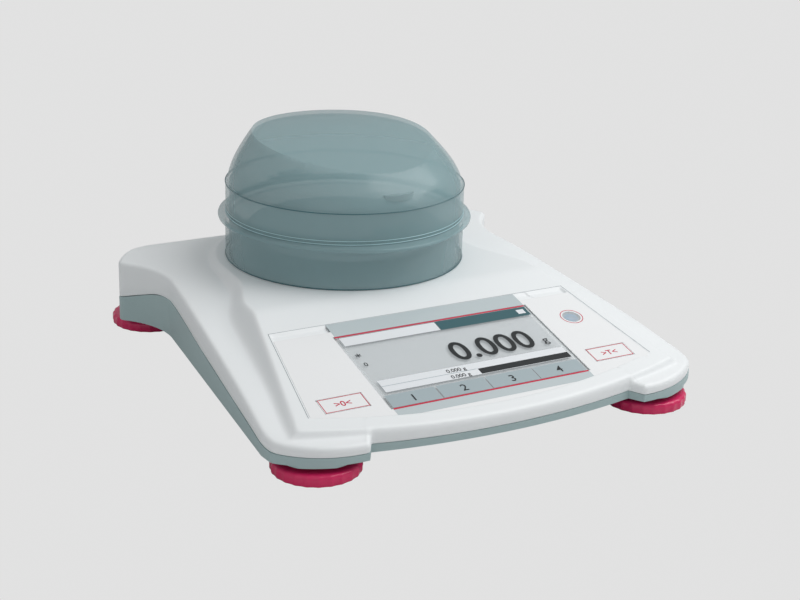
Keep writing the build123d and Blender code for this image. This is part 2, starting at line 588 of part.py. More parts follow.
with BuildPart() as lower_housing:
    add(OUTER_FORM)
    add(below_seam(-SEAM_GAP / 2), mode=Mode.INTERSECT)
    add(block_between((-REACH, REACH), (-REACH, REACH), (CASE_BOTTOM_Z, PLATFORM_Z)), mode=Mode.INTERSECT)
    above_floor = block_between((-REACH, REACH), (-REACH, REACH), (FLOOR_TOP_Z, PLATFORM_Z)) & HOLLOW_FORM
    add(above_floor, mode=Mode.SUBTRACT)
    # Foot pads and threaded foot bosses
    for spot in FOOT_SPOTS.values():
        add(column(*spot, FOOT_PAD_RADIUS, FOOT_PAD_Z, FLOOR_TOP_Z - FLOOR / 2) & OUTER_FORM)
        add(column(*spot, FOOT_BOSS_RADIUS, CASE_BOTTOM_Z, FOOT_BOSS_TOP_Z))
    # Battery bay with the frame that its cover slides in
    frame_x = COVER_SIZE[0] / 2 + BAY_WALL
    frame_y = (BATTERY_Y - COVER_SIZE[1] / 2 - COVER_SLIDE - BAY_WALL, BATTERY_Y + COVER_SIZE[1] / 2 + BAY_WALL)
    add(block_between((-frame_x, frame_x), frame_y, (CASE_BOTTOM_Z, COVER_CEILING_Z + FLOOR)))
    bay_x = BAY_HALF_LENGTH + BAY_WALL
    bay_y = BAY_HALF_WIDTH + BAY_WALL
    bay = block_between((-bay_x, bay_x), (BATTERY_Y - bay_y, BATTERY_Y + bay_y), (CASE_BOTTOM_Z, BAY_TOP_Z + BAY_WALL))
    add(bay)
    # Load cell foot and the stop under its free end
    foot_y = (CELL_FRONT_Y, CELL_FRONT_Y + CELL_FOOT_LENGTH)
    add(block_between((-CELL_WIDTH / 2, CELL_WIDTH / 2), foot_y, (CASE_BOTTOM_Z, CELL_BOTTOM_Z)))
    # Screw tubes, board posts, and the towers of the lock and of the hook opening
    for spot in SCREW_PLACES:
        add(column(*spot, SCREW_TUBE_RADIUS, CASE_BOTTOM_Z, SCREW_SPLIT_Z))
    for spot in main_post_places():
        add(column(*spot, MAIN_POST_RADIUS, CASE_BOTTOM_Z, MAIN_BOARD_Z))
    add(column(LOCK_X, LOCK_Y, LOCK_RADIUS + RECESS_WALL, CASE_BOTTOM_Z, LOCK_TOP_Z + FLOOR))
    # Recesses, holes and slots
    recess_y = (BATTERY_Y - COVER_SIZE[1] / 2 - COVER_SLIDE - COVER_GAP, BATTERY_Y + COVER_SIZE[1] / 2 + COVER_GAP)
    recess_x = COVER_SIZE[0] / 2 + COVER_GAP
    add(block_between((-recess_x, recess_x), recess_y, (CASE_BOTTOM_Z - 1, COVER_CEILING_Z)), mode=Mode.SUBTRACT)
    inside_y = (BATTERY_Y - BAY_HALF_WIDTH, BATTERY_Y + BAY_HALF_WIDTH)
    inside = block_between((-BAY_HALF_LENGTH, BAY_HALF_LENGTH), inside_y, (CASE_BOTTOM_Z - 1, BAY_TOP_Z))
    add(inside, mode=Mode.SUBTRACT)
    for spot in FOOT_SPOTS.values():
        add(column(*spot, STUD_RADIUS + RUNNING_GAP, FOOT_PAD_Z - 1, FOOT_BOSS_TOP_Z + 1), mode=Mode.SUBTRACT)
    for spot in SCREW_PLACES:
        add(column(*spot, SCREW_HEAD_RADIUS + FIT_GAP, CASE_BOTTOM_Z - 1, SCREW_HEAD_Z), mode=Mode.SUBTRACT)
        add(column(*spot, SCREW_RADIUS + FIT_GAP, CASE_BOTTOM_Z, SCREW_SPLIT_Z + 1), mode=Mode.SUBTRACT)
    for side in (-1, 1):
        spot = (side * CELL_SCREW_PITCH / 2, PEDESTAL_SCREW_Y)
        head_top = CASE_BOTTOM_Z + CELL_SCREW_HEAD_HEIGHT + 0.4
        add(column(*spot, CELL_SCREW_HEAD_RADIUS + FIT_GAP, CASE_BOTTOM_Z - 1, head_top), mode=Mode.SUBTRACT)
        add(column(*spot, CELL_SCREW_RADIUS, CASE_BOTTOM_Z, CELL_BOTTOM_Z + 1), mode=Mode.SUBTRACT)
    for spot in main_post_places():
        add(column(*spot, BOARD_SCREW_RADIUS, FLOOR_TOP_Z, MAIN_BOARD_Z + 1), mode=Mode.SUBTRACT)
    for tab_y in COVER_TAB_Y:
        for side in (-1, 1):
            groove_y = (tab_y - COVER_TAB[1] / 2 - COVER_SLIDE - COVER_GAP, tab_y + COVER_TAB[1] / 2 + COVER_GAP)
            groove_x = sorted((side * recess_x, side * (recess_x + COVER_TAB[0])))
            groove_z = (COVER_CEILING_Z - COVER_TAB[2] - 2 * COVER_GAP, COVER_CEILING_Z)
            add(block_between(groove_x, groove_y, groove_z), mode=Mode.SUBTRACT)
            way_out = (groove_y[0], groove_y[0] + COVER_TAB[1] + 2 * COVER_GAP)
            add(block_between(groove_x, way_out, (CASE_BOTTOM_Z - 1, COVER_CEILING_Z)), mode=Mode.SUBTRACT)
    add(column(LOCK_X, LOCK_Y, LOCK_RADIUS + COVER_GAP, CASE_BOTTOM_Z - 1, LOCK_TOP_Z), mode=Mode.SUBTRACT)
    stem_hole = column(LOCK_X, LOCK_Y, LOCK_STEM_RADIUS + RUNNING_GAP, CASE_BOTTOM_Z, LOCK_TOP_Z + FLOOR + 1)
    add(stem_hole, mode=Mode.SUBTRACT)
    add(column(0, BRACKET_SCREW_Y, HOOK_COVER_RADIUS + COVER_GAP, CASE_BOTTOM_Z - 1, HOOK_RECESS_Z), mode=Mode.SUBTRACT)
    add(column(0, BRACKET_SCREW_Y, HOOK_COVER_RADIUS - 2, CASE_BOTTOM_Z - 1, FLOOR_TOP_Z + 1), mode=Mode.SUBTRACT)
    slot_x = (CAL_SWITCH_X - CAL_SLOT[0] / 2, CAL_SWITCH_X + CAL_SLOT[0] / 2)
    slot_y = (CAL_SWITCH_Y - CAL_SLOT[1] / 2, CAL_SWITCH_Y + CAL_SLOT[1] / 2)
    add(block_between(slot_x, slot_y, (CASE_BOTTOM_Z - 1, FLOOR_TOP_Z + 1)), mode=Mode.SUBTRACT)
    with BuildSketch(Plane.XZ.offset(-CASE_REAR_Y - 2)):
        with Locations((DC_SOCKET_X, SOCKET_Z)):
            Circle(DC_WALL_HOLE_RADIUS)
        with Locations((USB_SOCKET_X, SOCKET_Z)):
            Rectangle(USB_SOCKET_SIZE[0] + 2 * FIT_GAP, USB_SOCKET_SIZE[2] + 2 * FIT_GAP)
    extrude(amount=14, mode=Mode.SUBTRACT)
    slot_x = (SECURITY_SLOT_X - SECURITY_SLOT[0] / 2, SECURITY_SLOT_X + SECURITY_SLOT[0] / 2)
    slot_z = (SOCKET_Z - SECURITY_SLOT[1] / 2, SOCKET_Z + SECURITY_SLOT[1] / 2)
    add(block_between(slot_x, (CASE_REAR_Y - 12, CASE_REAR_Y + 5), slot_z), mode=Mode.SUBTRACT)
lower_housing.part.label = "lower_housing"
export_step(lower_housing.part, "parts/lower_housing.step")


# Front panel: printed film, screen window, screen, boards, keys and level

with BuildPart() as control_overlay:
    with BuildSketch(CONSOLE):
        add(overlay_outline(FIT_GAP / 2))
        with Locations(SCREEN_PLACE):
            Rectangle(SCREEN_WIDTH, SCREEN_HEIGHT, mode=Mode.SUBTRACT)
        with Locations(*key_places()):
            Rectangle(KEY_SIZE[0] + 2 * FIT_GAP, KEY_SIZE[1] + 2 * FIT_GAP, mode=Mode.SUBTRACT)
        with Locations(LEVEL_PLACE):
            Circle(LEVEL_LENS_RADIUS + RUNNING_GAP, mode=Mode.SUBTRACT)
    extrude(amount=-OVERLAY_THICKNESS)
control_overlay.part.label = "control_overlay"
export_step(control_overlay.part, "parts/control_overlay.step")

with BuildPart() as display_window:
    add(console_prism((SCREEN_WIDTH, SCREEN_HEIGHT), SCREEN_PLACE, 0, TOUCH_THICKNESS))
display_window.part.label = "display_window"
export_step(display_window.part, "parts/display_window.step")

with BuildPart() as display_module:
    add(console_prism(LCD_SIZE, SCREEN_PLACE, TOUCH_THICKNESS, LCD_THICKNESS))
display_module.part.label = "display_module"
export_step(display_module.part, "parts/display_module.step")

BOARD_BACK = DISPLAY_BOARD_DEPTH + BOARD_THICKNESS
BOARD_MIDDLE = -DISPLAY_BOARD_TOP - DISPLAY_BOARD_SIZE[1] / 2

with BuildPart() as display_board:
    add(console_prism(DISPLAY_BOARD_SIZE, (0, BOARD_MIDDLE), DISPLAY_BOARD_DEPTH, BOARD_THICKNESS))
    # Controller chip, connector and spacer against the screen
    add(console_prism((14, 14), (-18, BOARD_MIDDLE), BOARD_BACK, 1.4))
    add(console_prism((22, 6), (26, BOARD_MIDDLE - 6), BOARD_BACK, 2.2))
    spacer_top = TOUCH_THICKNESS + LCD_THICKNESS
    spacer = console_prism((80, 10), (0, BOARD_MIDDLE), spacer_top, DISPLAY_BOARD_DEPTH - spacer_top)
    add(spacer)
    for place in board_post_places():
        hole = console_column(place, BOARD_SCREW_RADIUS + FIT_GAP, DISPLAY_BOARD_DEPTH - 1, BOARD_THICKNESS + 2)
        add(hole, mode=Mode.SUBTRACT)
display_board.part.label = "display_board"
export_step(display_board.part, "parts/display_board.step")

with BuildPart() as key_boards:
    for x, y in key_places():
        add(console_prism(KEY_BOARD_SIZE, (x, y), KEY_BOARD_DEPTH, BOARD_THICKNESS))
key_boards.part.label = "key_boards"
export_step(key_boards.part, "parts/key_boards.step")

with BuildPart() as key_switches:
    for place in key_places():
        add(console_prism(SWITCH_SIZE, place, SWITCH_TOP_DEPTH + 0.5, SWITCH_HEIGHT - 0.5))
        add(console_column(place, 1.7, SWITCH_TOP_DEPTH, 0.5))
key_switches.part.label = "key_switches"
export_step(key_switches.part, "parts/key_switches.step")

PLUNGER_LENGTH = SWITCH_TOP_DEPTH - KEY_TRAVEL - 0.1 - KEY_THICKNESS

with BuildPart() as zero_key:
    add(console_prism(KEY_SIZE, key_places()[0], 0, KEY_THICKNESS, 0.8))
    add(console_column(key_places()[0], KEY_PLUNGER_RADIUS, KEY_THICKNESS, PLUNGER_LENGTH))
zero_key.part.label = "zero_key"
export_step(zero_key.part, "parts/zero_key.step")

with BuildPart() as tare_key:
    add(console_prism(KEY_SIZE, key_places()[1], 0, KEY_THICKNESS, 0.8))
    add(console_column(key_places()[1], KEY_PLUNGER_RADIUS, KEY_THICKNESS, PLUNGER_LENGTH))
tare_key.part.label = "tare_key"
export_step(tare_key.part, "parts/tare_key.step")

VIAL_INNER = LEVEL_LENS_RADIUS - LEVEL_VIAL_WALL
VIAL_FLOOR = WALL + LEVEL_VIAL_HEIGHT

with BuildPart() as level_vial:
    add(console_column(LEVEL_PLACE, LEVEL_LENS_RADIUS, LEVEL_LENS_THICKNESS, WALL - LEVEL_LENS_THICKNESS))
    add(console_column(LEVEL_PLACE, LEVEL_VIAL_RADIUS, WALL, LEVEL_VIAL_HEIGHT))
    vial_depth = VIAL_FLOOR - LEVEL_VIAL_WALL - LEVEL_LENS_THICKNESS
    add(console_column(LEVEL_PLACE, VIAL_INNER, LEVEL_LENS_THICKNESS, vial_depth), mode=Mode.SUBTRACT)
level_vial.part.label = "level_vial"
export_step(level_vial.part, "parts/level_vial.step")

with BuildPart() as level_liquid:
    add(console_column(LEVEL_PLACE, VIAL_INNER, LEVEL_LENS_THICKNESS, vial_depth))
    add(console_column(LEVEL_PLACE, LEVEL_BUBBLE_RADIUS, LEVEL_LENS_THICKNESS, 0.7), mode=Mode.SUBTRACT)
level_liquid.part.label = "level_liquid"
export_step(level_liquid.part, "parts/level_liquid.step")

with BuildPart() as level_lens:
    add(console_column(LEVEL_PLACE, LEVEL_LENS_RADIUS, 0, LEVEL_LENS_THICKNESS))
level_lens.part.label = "level_lens"
export_step(level_lens.part, "parts/level_lens.step")


# Weighing mechanism and pan

CELL_Z = (CELL_BOTTOM_Z, CELL_TOP_Z)
CELL_MIDDLE_Z = CELL_BOTTOM_Z + CELL_HEIGHT / 2

with BuildPart() as load_cell:
    add(block_between((-CELL_WIDTH / 2, CELL_WIDTH / 2), (CELL_FRONT_Y, CELL_REAR_Y), CELL_Z))
    # Two joined bores leave the thin flexures
    with BuildSketch(Plane.YZ.offset(-CELL_WIDTH)):
        with Locations((SHIELD_Y - 10, CELL_MIDDLE_Z), (SHIELD_Y + 10, CELL_MIDDLE_Z)):
            Circle(CELL_HOLE_RADIUS)
        with Locations((SHIELD_Y, CELL_MIDDLE_Z)):
            Rectangle(20, 4.0)
    extrude(amount=2 * CELL_WIDTH, mode=Mode.SUBTRACT)
    for side in (-1, 1):
        x = side * CELL_SCREW_PITCH / 2
        add(column(x, PEDESTAL_SCREW_Y, CELL_SCREW_RADIUS, CELL_BOTTOM_Z - 1, CELL_MIDDLE_Z), mode=Mode.SUBTRACT)
        add(column(x, BRACKET_SCREW_Y, CELL_SCREW_RADIUS, CELL_MIDDLE_Z, CELL_TOP_Z + 1), mode=Mode.SUBTRACT)
load_cell.part.label = "load_cell"
export_step(load_cell.part, "parts/load_cell.step")

with BuildPart() as load_cell_screws:
    for side in (-1, 1):
        x = side * CELL_SCREW_PITCH / 2
        head_z = CASE_BOTTOM_Z + 0.4
        head_top = head_z + CELL_SCREW_HEAD_HEIGHT
        add(column(x, PEDESTAL_SCREW_Y, CELL_SCREW_HEAD_RADIUS, head_z, head_top))
        add(column(x, PEDESTAL_SCREW_Y, CELL_SCREW_RADIUS, head_top, CELL_MIDDLE_Z - 1))
        add(column(x, PEDESTAL_SCREW_Y, 1.4, head_z, head_z + 1.1), mode=Mode.SUBTRACT)
        add(column(x, BRACKET_SCREW_Y, CELL_SCREW_RADIUS, CELL_MIDDLE_Z + 1, BRACKET_TOP_Z))
        add(column(x, BRACKET_SCREW_Y, CELL_SCREW_HEAD_RADIUS, BRACKET_TOP_Z, BRACKET_TOP_Z + 1.6))
load_cell_screws.part.label = "load_cell_screws"
export_step(load_cell_screws.part, "parts/load_cell_screws.step")

SUPPORT_BOTTOM_Z = SUPPORT_TOP_Z - SUPPORT_THICKNESS
BRACKET_BOTTOM_Z = CELL_TOP_Z + BRACKET_GAP
SUPPORT_BOSS_Z = SUPPORT_BOTTOM_Z - 3.0

with BuildPart() as pan_carrier:
    pad_y = (CELL_REAR_Y - CELL_FOOT_LENGTH, CELL_REAR_Y)
    add(block_between((-CELL_WIDTH / 2, CELL_WIDTH / 2), pad_y, (CELL_TOP_Z, BRACKET_BOTTOM_Z)))
    arm_y = (SHIELD_Y - CELL_WIDTH / 2, CELL_REAR_Y)
    add(block_between((-CELL_WIDTH / 2, CELL_WIDTH / 2), arm_y, (BRACKET_BOTTOM_Z, BRACKET_TOP_Z)))
    add(column(0, SHIELD_Y, POST_RADIUS, BRACKET_TOP_Z, SUPPORT_BOTTOM_Z))
    for side in (-1, 1):
        x = side * CELL_SCREW_PITCH / 2
        add(column(x, BRACKET_SCREW_Y, CELL_SCREW_RADIUS, CELL_TOP_Z - 1, BRACKET_TOP_Z + 1), mode=Mode.SUBTRACT)
pan_carrier.part.label = "pan_carrier"
export_step(pan_carrier.part, "parts/pan_carrier.step")

with BuildPart() as pan_support:
    add(column(0, SHIELD_Y, SUPPORT_RADIUS, SUPPORT_BOTTOM_Z, SUPPORT_TOP_Z))
    add(column(0, SHIELD_Y, POST_RADIUS + 2.5, SUPPORT_BOSS_Z, SUPPORT_BOTTOM_Z))
    add(column(0, SHIELD_Y, POST_RADIUS, SUPPORT_BOSS_Z - 1, SUPPORT_BOTTOM_Z), mode=Mode.SUBTRACT)
    # Lightening holes between the pads
    with BuildSketch(Plane.XY.offset(SUPPORT_BOTTOM_Z - 1)):
        with Locations((0, SHIELD_Y)):
            with PolarLocations(BUMPER_RING * 0.65, 4):
                Circle(8.0)
    extrude(amount=SUPPORT_THICKNESS + 2, mode=Mode.SUBTRACT)
pan_support.part.label = "pan_support"
export_step(pan_support.part, "parts/pan_support.step")

with BuildPart() as pan_bumpers:
    with BuildSketch(Plane.XY.offset(SUPPORT_TOP_Z)):
        with Locations((0, SHIELD_Y)):
            with PolarLocations(BUMPER_RING, 4, start_angle=45):
                Circle(BUMPER_RADIUS)
    extrude(amount=PAN_TOP_Z - PAN_SHEET - SUPPORT_TOP_Z)
pan_bumpers.part.label = "pan_bumpers"
export_step(pan_bumpers.part, "parts/pan_bumpers.step")

with BuildPart() as weighing_pan:
    with BuildSketch(Plane.XZ) as pan_section:
        with BuildLine():
            FilletPolyline(
                (0, PAN_TOP_Z),
                (PAN_RADIUS, PAN_TOP_Z),
                (PAN_RADIUS, PAN_TOP_Z - PAN_RIM_DROP),
                radius=1.5,
            )
            Line((PAN_RADIUS, PAN_TOP_Z - PAN_RIM_DROP), (PAN_RADIUS - PAN_SHEET, PAN_TOP_Z - PAN_RIM_DROP))
            Polyline(
                (PAN_RADIUS - PAN_SHEET, PAN_TOP_Z - PAN_RIM_DROP),
                (PAN_RADIUS - PAN_SHEET, PAN_TOP_Z - PAN_SHEET),
                (0, PAN_TOP_Z - PAN_SHEET),
                (0, PAN_TOP_Z),
            )
        make_face()
    revolve(axis=Axis.Z)
weighing_pan.part.move(Location((0, SHIELD_Y, 0)))
weighing_pan.part.label = "weighing_pan"
export_step(weighing_pan.part, "parts/weighing_pan.step")


# Draft shield: ring, lid and hinge pin

FLANGE_TOP_Z = FLANGE_BOTTOM_Z + FLANGE_THICKNESS
SPIGOT_RADIUS = LID_RADIUS - LID_WALL - SPIGOT_GAP
LUG_INNER_X = KNUCKLE_HALF + HINGE_SIDE_GAP
LUG_OUTER_X = LUG_INNER_X + LUG_LENGTH


def cross_bar(radius, left, right):
    """Round bar along X on the lid's hinge line."""
    with BuildPart() as bar:
        with BuildSketch(Plane.YZ.offset(left)):
            with Locations((HINGE_Y, HINGE_Z)):
                Circle(radius)
        extrude(amount=right - left)
    return bar.part


with BuildPart() as draft_shield_ring:
    add(column(0, SHIELD_Y, RING_RADIUS, PLATFORM_Z, FLANGE_TOP_Z))
    # Grip flange, wider at the front
    with BuildSketch(Plane.XY.offset(FLANGE_BOTTOM_Z)):
        with Locations((0, SHIELD_Y)):
            Circle(FLANGE_RADIUS)
        with Locations((0, SHIELD_Y - FLANGE_RADIUS - LIP_REACH + LIP_RADIUS)):
            Circle(LIP_RADIUS)
    extrude(amount=FLANGE_THICKNESS)
    fillet(draft_shield_ring.edges().filter_by(GeomType.CIRCLE).group_by(Axis.Z)[-1], 0.5)
    # Hinge lugs and the slot for the lid's knuckle
    for side in (-1, 1):
        lug_x = sorted((side * LUG_INNER_X, side * LUG_OUTER_X))
        add(cross_bar(KNUCKLE_RADIUS, lug_x[0], lug_x[1]))
        lug_y = (HINGE_Y - KNUCKLE_RADIUS, HINGE_Y + KNUCKLE_RADIUS)
        add(block_between(lug_x, lug_y, (FLANGE_BOTTOM_Z, HINGE_Z)))
        add(block_between(lug_x, (SHIELD_Y + RING_RADIUS - 2, HINGE_Y), (FLANGE_BOTTOM_Z, FLANGE_TOP_Z)))
    slot_y = (SHIELD_Y + RING_RADIUS + 0.2, HINGE_Y + KNUCKLE_RADIUS + 1)
    slot = block_between((-LUG_INNER_X, LUG_INNER_X), slot_y, (FLANGE_BOTTOM_Z - 1, HINGE_Z + 5))
    add(slot, mode=Mode.SUBTRACT)
    # Spigot that the lid closes over, and its taller front tab
    add(column(0, SHIELD_Y, SPIGOT_RADIUS, FLANGE_TOP_Z - 1, FLANGE_TOP_Z + SPIGOT_HEIGHT))
    tab_y = (SHIELD_Y - SPIGOT_RADIUS - 1, SHIELD_Y - SPIGOT_RADIUS + 6)
    tab = block_between((-TAB_HALF_WIDTH, TAB_HALF_WIDTH), tab_y, (FLANGE_TOP_Z, FLANGE_TOP_Z + TAB_HEIGHT))
    add(tab & column(0, SHIELD_Y, SPIGOT_RADIUS, FLANGE_TOP_Z, FLANGE_TOP_Z + TAB_HEIGHT))
    bore = column(0, SHIELD_Y, RING_RADIUS - RING_WALL, PLATFORM_Z - 1, FLANGE_BOTTOM_Z)
    add(bore, mode=Mode.SUBTRACT)
    throat = column(0, SHIELD_Y, SPIGOT_RADIUS - SPIGOT_WALL, FLANGE_BOTTOM_Z - 1, FLANGE_TOP_Z + TAB_HEIGHT + 1)
    add(throat, mode=Mode.SUBTRACT)
    add(cross_bar(HINGE_PIN_RADIUS, -LUG_OUTER_X - 1, LUG_OUTER_X + 1), mode=Mode.SUBTRACT)
draft_shield_ring.part.label = "draft_shield_ring"
export_step(draft_shield_ring.part, "parts/draft_shield_ring.step")


def dome_block(inset):
    """Leaning dome under the sloping top facet, drawn in by inset."""
    with BuildPart() as dome:
        for level, radius, shift in zip(DOME_LEVELS, DOME_RADII, DOME_SHIFTS):
            with BuildSketch(Plane.XY.offset(LID_SKIRT_TOP_Z + level)):
                with Locations((0, SHIELD_Y + shift)):
                    Circle(radius - inset)
        loft()
        facet_axis_z = FACET_PEAK_Z - FACET_CROWN_RADIUS
        front_y = SHIELD_Y - LID_RADIUS - 10
        rear_y = SHIELD_Y + LID_RADIUS + 10
        with BuildSketch(Plane.YZ):
            with BuildLine():
                top = Spline(
                    (front_y, FACET_FRONT_Z - 5.0 - inset),
                    (SHIELD_Y - LID_RADIUS, FACET_FRONT_Z - inset),
                    (SHIELD_Y, FACET_MID_Z - inset),
                    (SHIELD_Y + 17, FACET_PEAK_Z - inset),
                    (SHIELD_Y + LID_RADIUS, FACET_REAR_Z - inset),
                    (rear_y, FACET_REAR_Z - 2.4 - inset),
                )
                Polyline(top @ 1, (rear_y, facet_axis_z), (front_y, facet_axis_z), top @ 0)
            make_face()
        facet_axis = Axis((0, 0, facet_axis_z), (0, 1, 0))
        revolve(axis=facet_axis, mode=Mode.INTERSECT)
    return dome.part


with BuildPart() as draft_shield_lid:
    add(column(0, SHIELD_Y, LID_RADIUS, LID_BOTTOM_Z, LID_SKIRT_TOP_Z))
    add(dome_block(0))
    # Thumb lip on the front of the dome
    with BuildSketch(Plane.XY.offset(THUMB_LIP_Z - THUMB_LIP_HEIGHT / 2)):
        with Locations((0, SHIELD_Y - DOME_RADII[1] + THUMB_LIP_REACH / 2)):
            Ellipse(THUMB_LIP_WIDTH / 2, THUMB_LIP_REACH * 1.5)
    extrude(amount=THUMB_LIP_HEIGHT)
    # Arm and knuckle of the hinge
    arm_y = (SHIELD_Y + LID_RADIUS - LID_WALL, HINGE_Y)
    add(block_between((-KNUCKLE_HALF, KNUCKLE_HALF), arm_y, (LID_BOTTOM_Z, HINGE_Z + KNUCKLE_RADIUS)))
    add(cross_bar(KNUCKLE_RADIUS, -KNUCKLE_HALF, KNUCKLE_HALF))
    add(column(0, SHIELD_Y, LID_RADIUS - LID_WALL, LID_BOTTOM_Z - 1, LID_SKIRT_TOP_Z), mode=Mode.SUBTRACT)
    add(dome_block(LID_WALL), mode=Mode.SUBTRACT)
    pin_hole = cross_bar(HINGE_PIN_RADIUS + RUNNING_GAP, -KNUCKLE_HALF - 1, KNUCKLE_HALF + 1)
    add(pin_hole, mode=Mode.SUBTRACT)
draft_shield_lid.part.label = "draft_shield_lid"
export_step(draft_shield_lid.part, "parts/draft_shield_lid.step")

with BuildPart() as lid_hinge_pin:
    add(cross_bar(HINGE_PIN_RADIUS, -LUG_OUTER_X, LUG_OUTER_X))
lid_hinge_pin.part.label = "lid_hinge_pin"
export_step(lid_hinge_pin.part, "parts/lid_hinge_pin.step")


# Levelling feet

SOLE_RECESS_Z = SOLE_THICKNESS + 0.1


def foot_wheel(x, y):
    """Thumbwheel with a scalloped rim, recessed underneath for its sole."""
    with BuildPart() as wheel:
        with BuildSketch(Plane.XZ):
            with BuildLine():
                Polyline(
                    (SOLE_PIN_RADIUS + RUNNING_GAP, SOLE_RECESS_Z),
                    (SOLE_RADIUS + 0.4, SOLE_RECESS_Z),
                    (SOLE_RADIUS + 0.4, WHEEL_BOTTOM_Z),
                    (WHEEL_RADIUS - 0.8, WHEEL_BOTTOM_Z),
                    (WHEEL_RADIUS, WHEEL_BOTTOM_Z + 0.8),
                    (WHEEL_RADIUS, WHEEL_TOP_Z - 1.3),
                )
                ThreePointArc(
                    (WHEEL_RADIUS, WHEEL_TOP_Z - 1.3),
                    (WHEEL_RADIUS - 0.38, WHEEL_TOP_Z - 0.38),
                    (WHEEL_RADIUS - 1.3, WHEEL_TOP_Z),
                )
                Polyline(
                    (WHEEL_RADIUS - 1.3, WHEEL_TOP_Z),
                    (WHEEL_HUB_RADIUS, WHEEL_TOP_Z),
                    (WHEEL_HUB_RADIUS, WHEEL_HUB_Z),
                    (STUD_RADIUS, WHEEL_HUB_Z),
                    (STUD_RADIUS, STUD_BOTTOM_Z),
                    (SOLE_PIN_RADIUS + RUNNING_GAP, STUD_BOTTOM_Z),
                    (SOLE_PIN_RADIUS + RUNNING_GAP, SOLE_RECESS_Z),
                )
            make_face()
        revolve(axis=Axis.Z)
        with BuildSketch(Plane.XY):
            with PolarLocations(WHEEL_RADIUS + SCALLOP_RADIUS - SCALLOP_DEPTH, WHEEL_SCALLOPS):
                Circle(SCALLOP_RADIUS)
        extrude(amount=WHEEL_TOP_Z + 2, mode=Mode.SUBTRACT)
    return wheel.part.moved(Location((x, y, 0)))


for foot, (foot_x, foot_y) in FOOT_SPOTS.items():
    wheel = foot_wheel(foot_x, foot_y)
    wheel.label = f"wheel_{foot}"
    export_step(wheel, f"parts/wheel_{foot}.step")

    with BuildPart() as stud:
        add(column(foot_x, foot_y, STUD_RADIUS, STUD_BOTTOM_Z, STUD_TOP_Z))
        chamfer(stud.edges().sort_by(Axis.Z)[-1], 0.6)
    stud.part.label = f"stud_{foot}"
    export_step(stud.part, f"parts/stud_{foot}.step")

    with BuildPart() as sole:
        add(column(foot_x, foot_y, SOLE_RADIUS, 0, SOLE_THICKNESS))
        add(column(foot_x, foot_y, SOLE_PIN_RADIUS, SOLE_THICKNESS, SOLE_THICKNESS + SOLE_PIN_LENGTH))
        chamfer(sole.edges().sort_by(Axis.Z)[0], 0.4)
    sole.part.label = f"sole_{foot}"
    export_step(sole.part, f"parts/sole_{foot}.step")


# Batteries, their contacts and cover

ROW_FRONT_Y = BATTERY_Y - BATTERY_PITCH / 2
ROW_REAR_Y = BATTERY_Y + BATTERY_PITCH / 2
PLATE_X = BAY_HALF_LENGTH - CONTACT_THICKNESS
FULL_CELL = CELL_AA_LENGTH + CELL_AA_BUTTON


def side_bar(radius, y, z, left, right):
    """Round bar along X."""
    with BuildPart() as bar:
        with BuildSketch(Plane.YZ.offset(left)):
            with Locations((y, z)):
                Circle(radius)
        extrude(amount=right - left)
    return bar.part


with BuildPart() as batteries:
    for row_y, side in ((ROW_FRONT_Y, 1), (ROW_REAR_Y, -1)):
        for cell in (0, 1):
            tip = side * (PLATE_X - cell * FULL_CELL)
            shoulder = tip - side * CELL_AA_BUTTON
            tail = tip - side * (FULL_CELL - CELL_END_GAP)
            add(side_bar(CELL_AA_RADIUS, row_y, BATTERY_Z, min(shoulder, tail), max(shoulder, tail)))
            add(side_bar(CELL_AA_BUTTON_RADIUS, row_y, BATTERY_Z, min(tip, shoulder), max(tip, shoulder)))
batteries.part.label = "batteries"
export_step(batteries.part, "parts/batteries.step")

PLATE_Z = (BATTERY_Z - CONTACT_WIDTH / 2, BATTERY_Z + CONTACT_WIDTH / 2)
LEAF_REACH = 2 * BAY_HALF_LENGTH - 2 * CONTACT_THICKNESS - 2 * FULL_CELL

with BuildPart() as battery_contacts:
    joined_y = (ROW_FRONT_Y - CONTACT_WIDTH / 2, ROW_REAR_Y + CONTACT_WIDTH / 2)
    add(block_between((PLATE_X, BAY_HALF_LENGTH), joined_y, PLATE_Z))
    for row_y in (ROW_FRONT_Y, ROW_REAR_Y):
        plate_y = (row_y - CONTACT_WIDTH / 2, row_y + CONTACT_WIDTH / 2)
        add(block_between((-BAY_HALF_LENGTH, -PLATE_X), plate_y, PLATE_Z))
    # Bowed leaf at the flat end of each row
    for row_y, side in ((ROW_FRONT_Y, -1), (ROW_REAR_Y, 1)):
        with BuildSketch(Plane.XY.offset(BATTERY_Z - 2.5)):
            with BuildLine():
                outer = ThreePointArc(
                    (side * PLATE_X, row_y - 4.5),
                    (side * (PLATE_X - LEAF_REACH), row_y),
                    (side * PLATE_X, row_y + 4.5),
                )
                inner = ThreePointArc(
                    (side * PLATE_X, row_y - 3.9),
                    (side * (PLATE_X - LEAF_REACH + CONTACT_THICKNESS), row_y),
                    (side * PLATE_X, row_y + 3.9),
                )
                Line(outer @ 0, inner @ 0)
                Line(outer @ 1, inner @ 1)
            make_face()
        extrude(amount=5.0)
battery_contacts.part.label = "battery_contacts"
export_step(battery_contacts.part, "parts/battery_contacts.step")

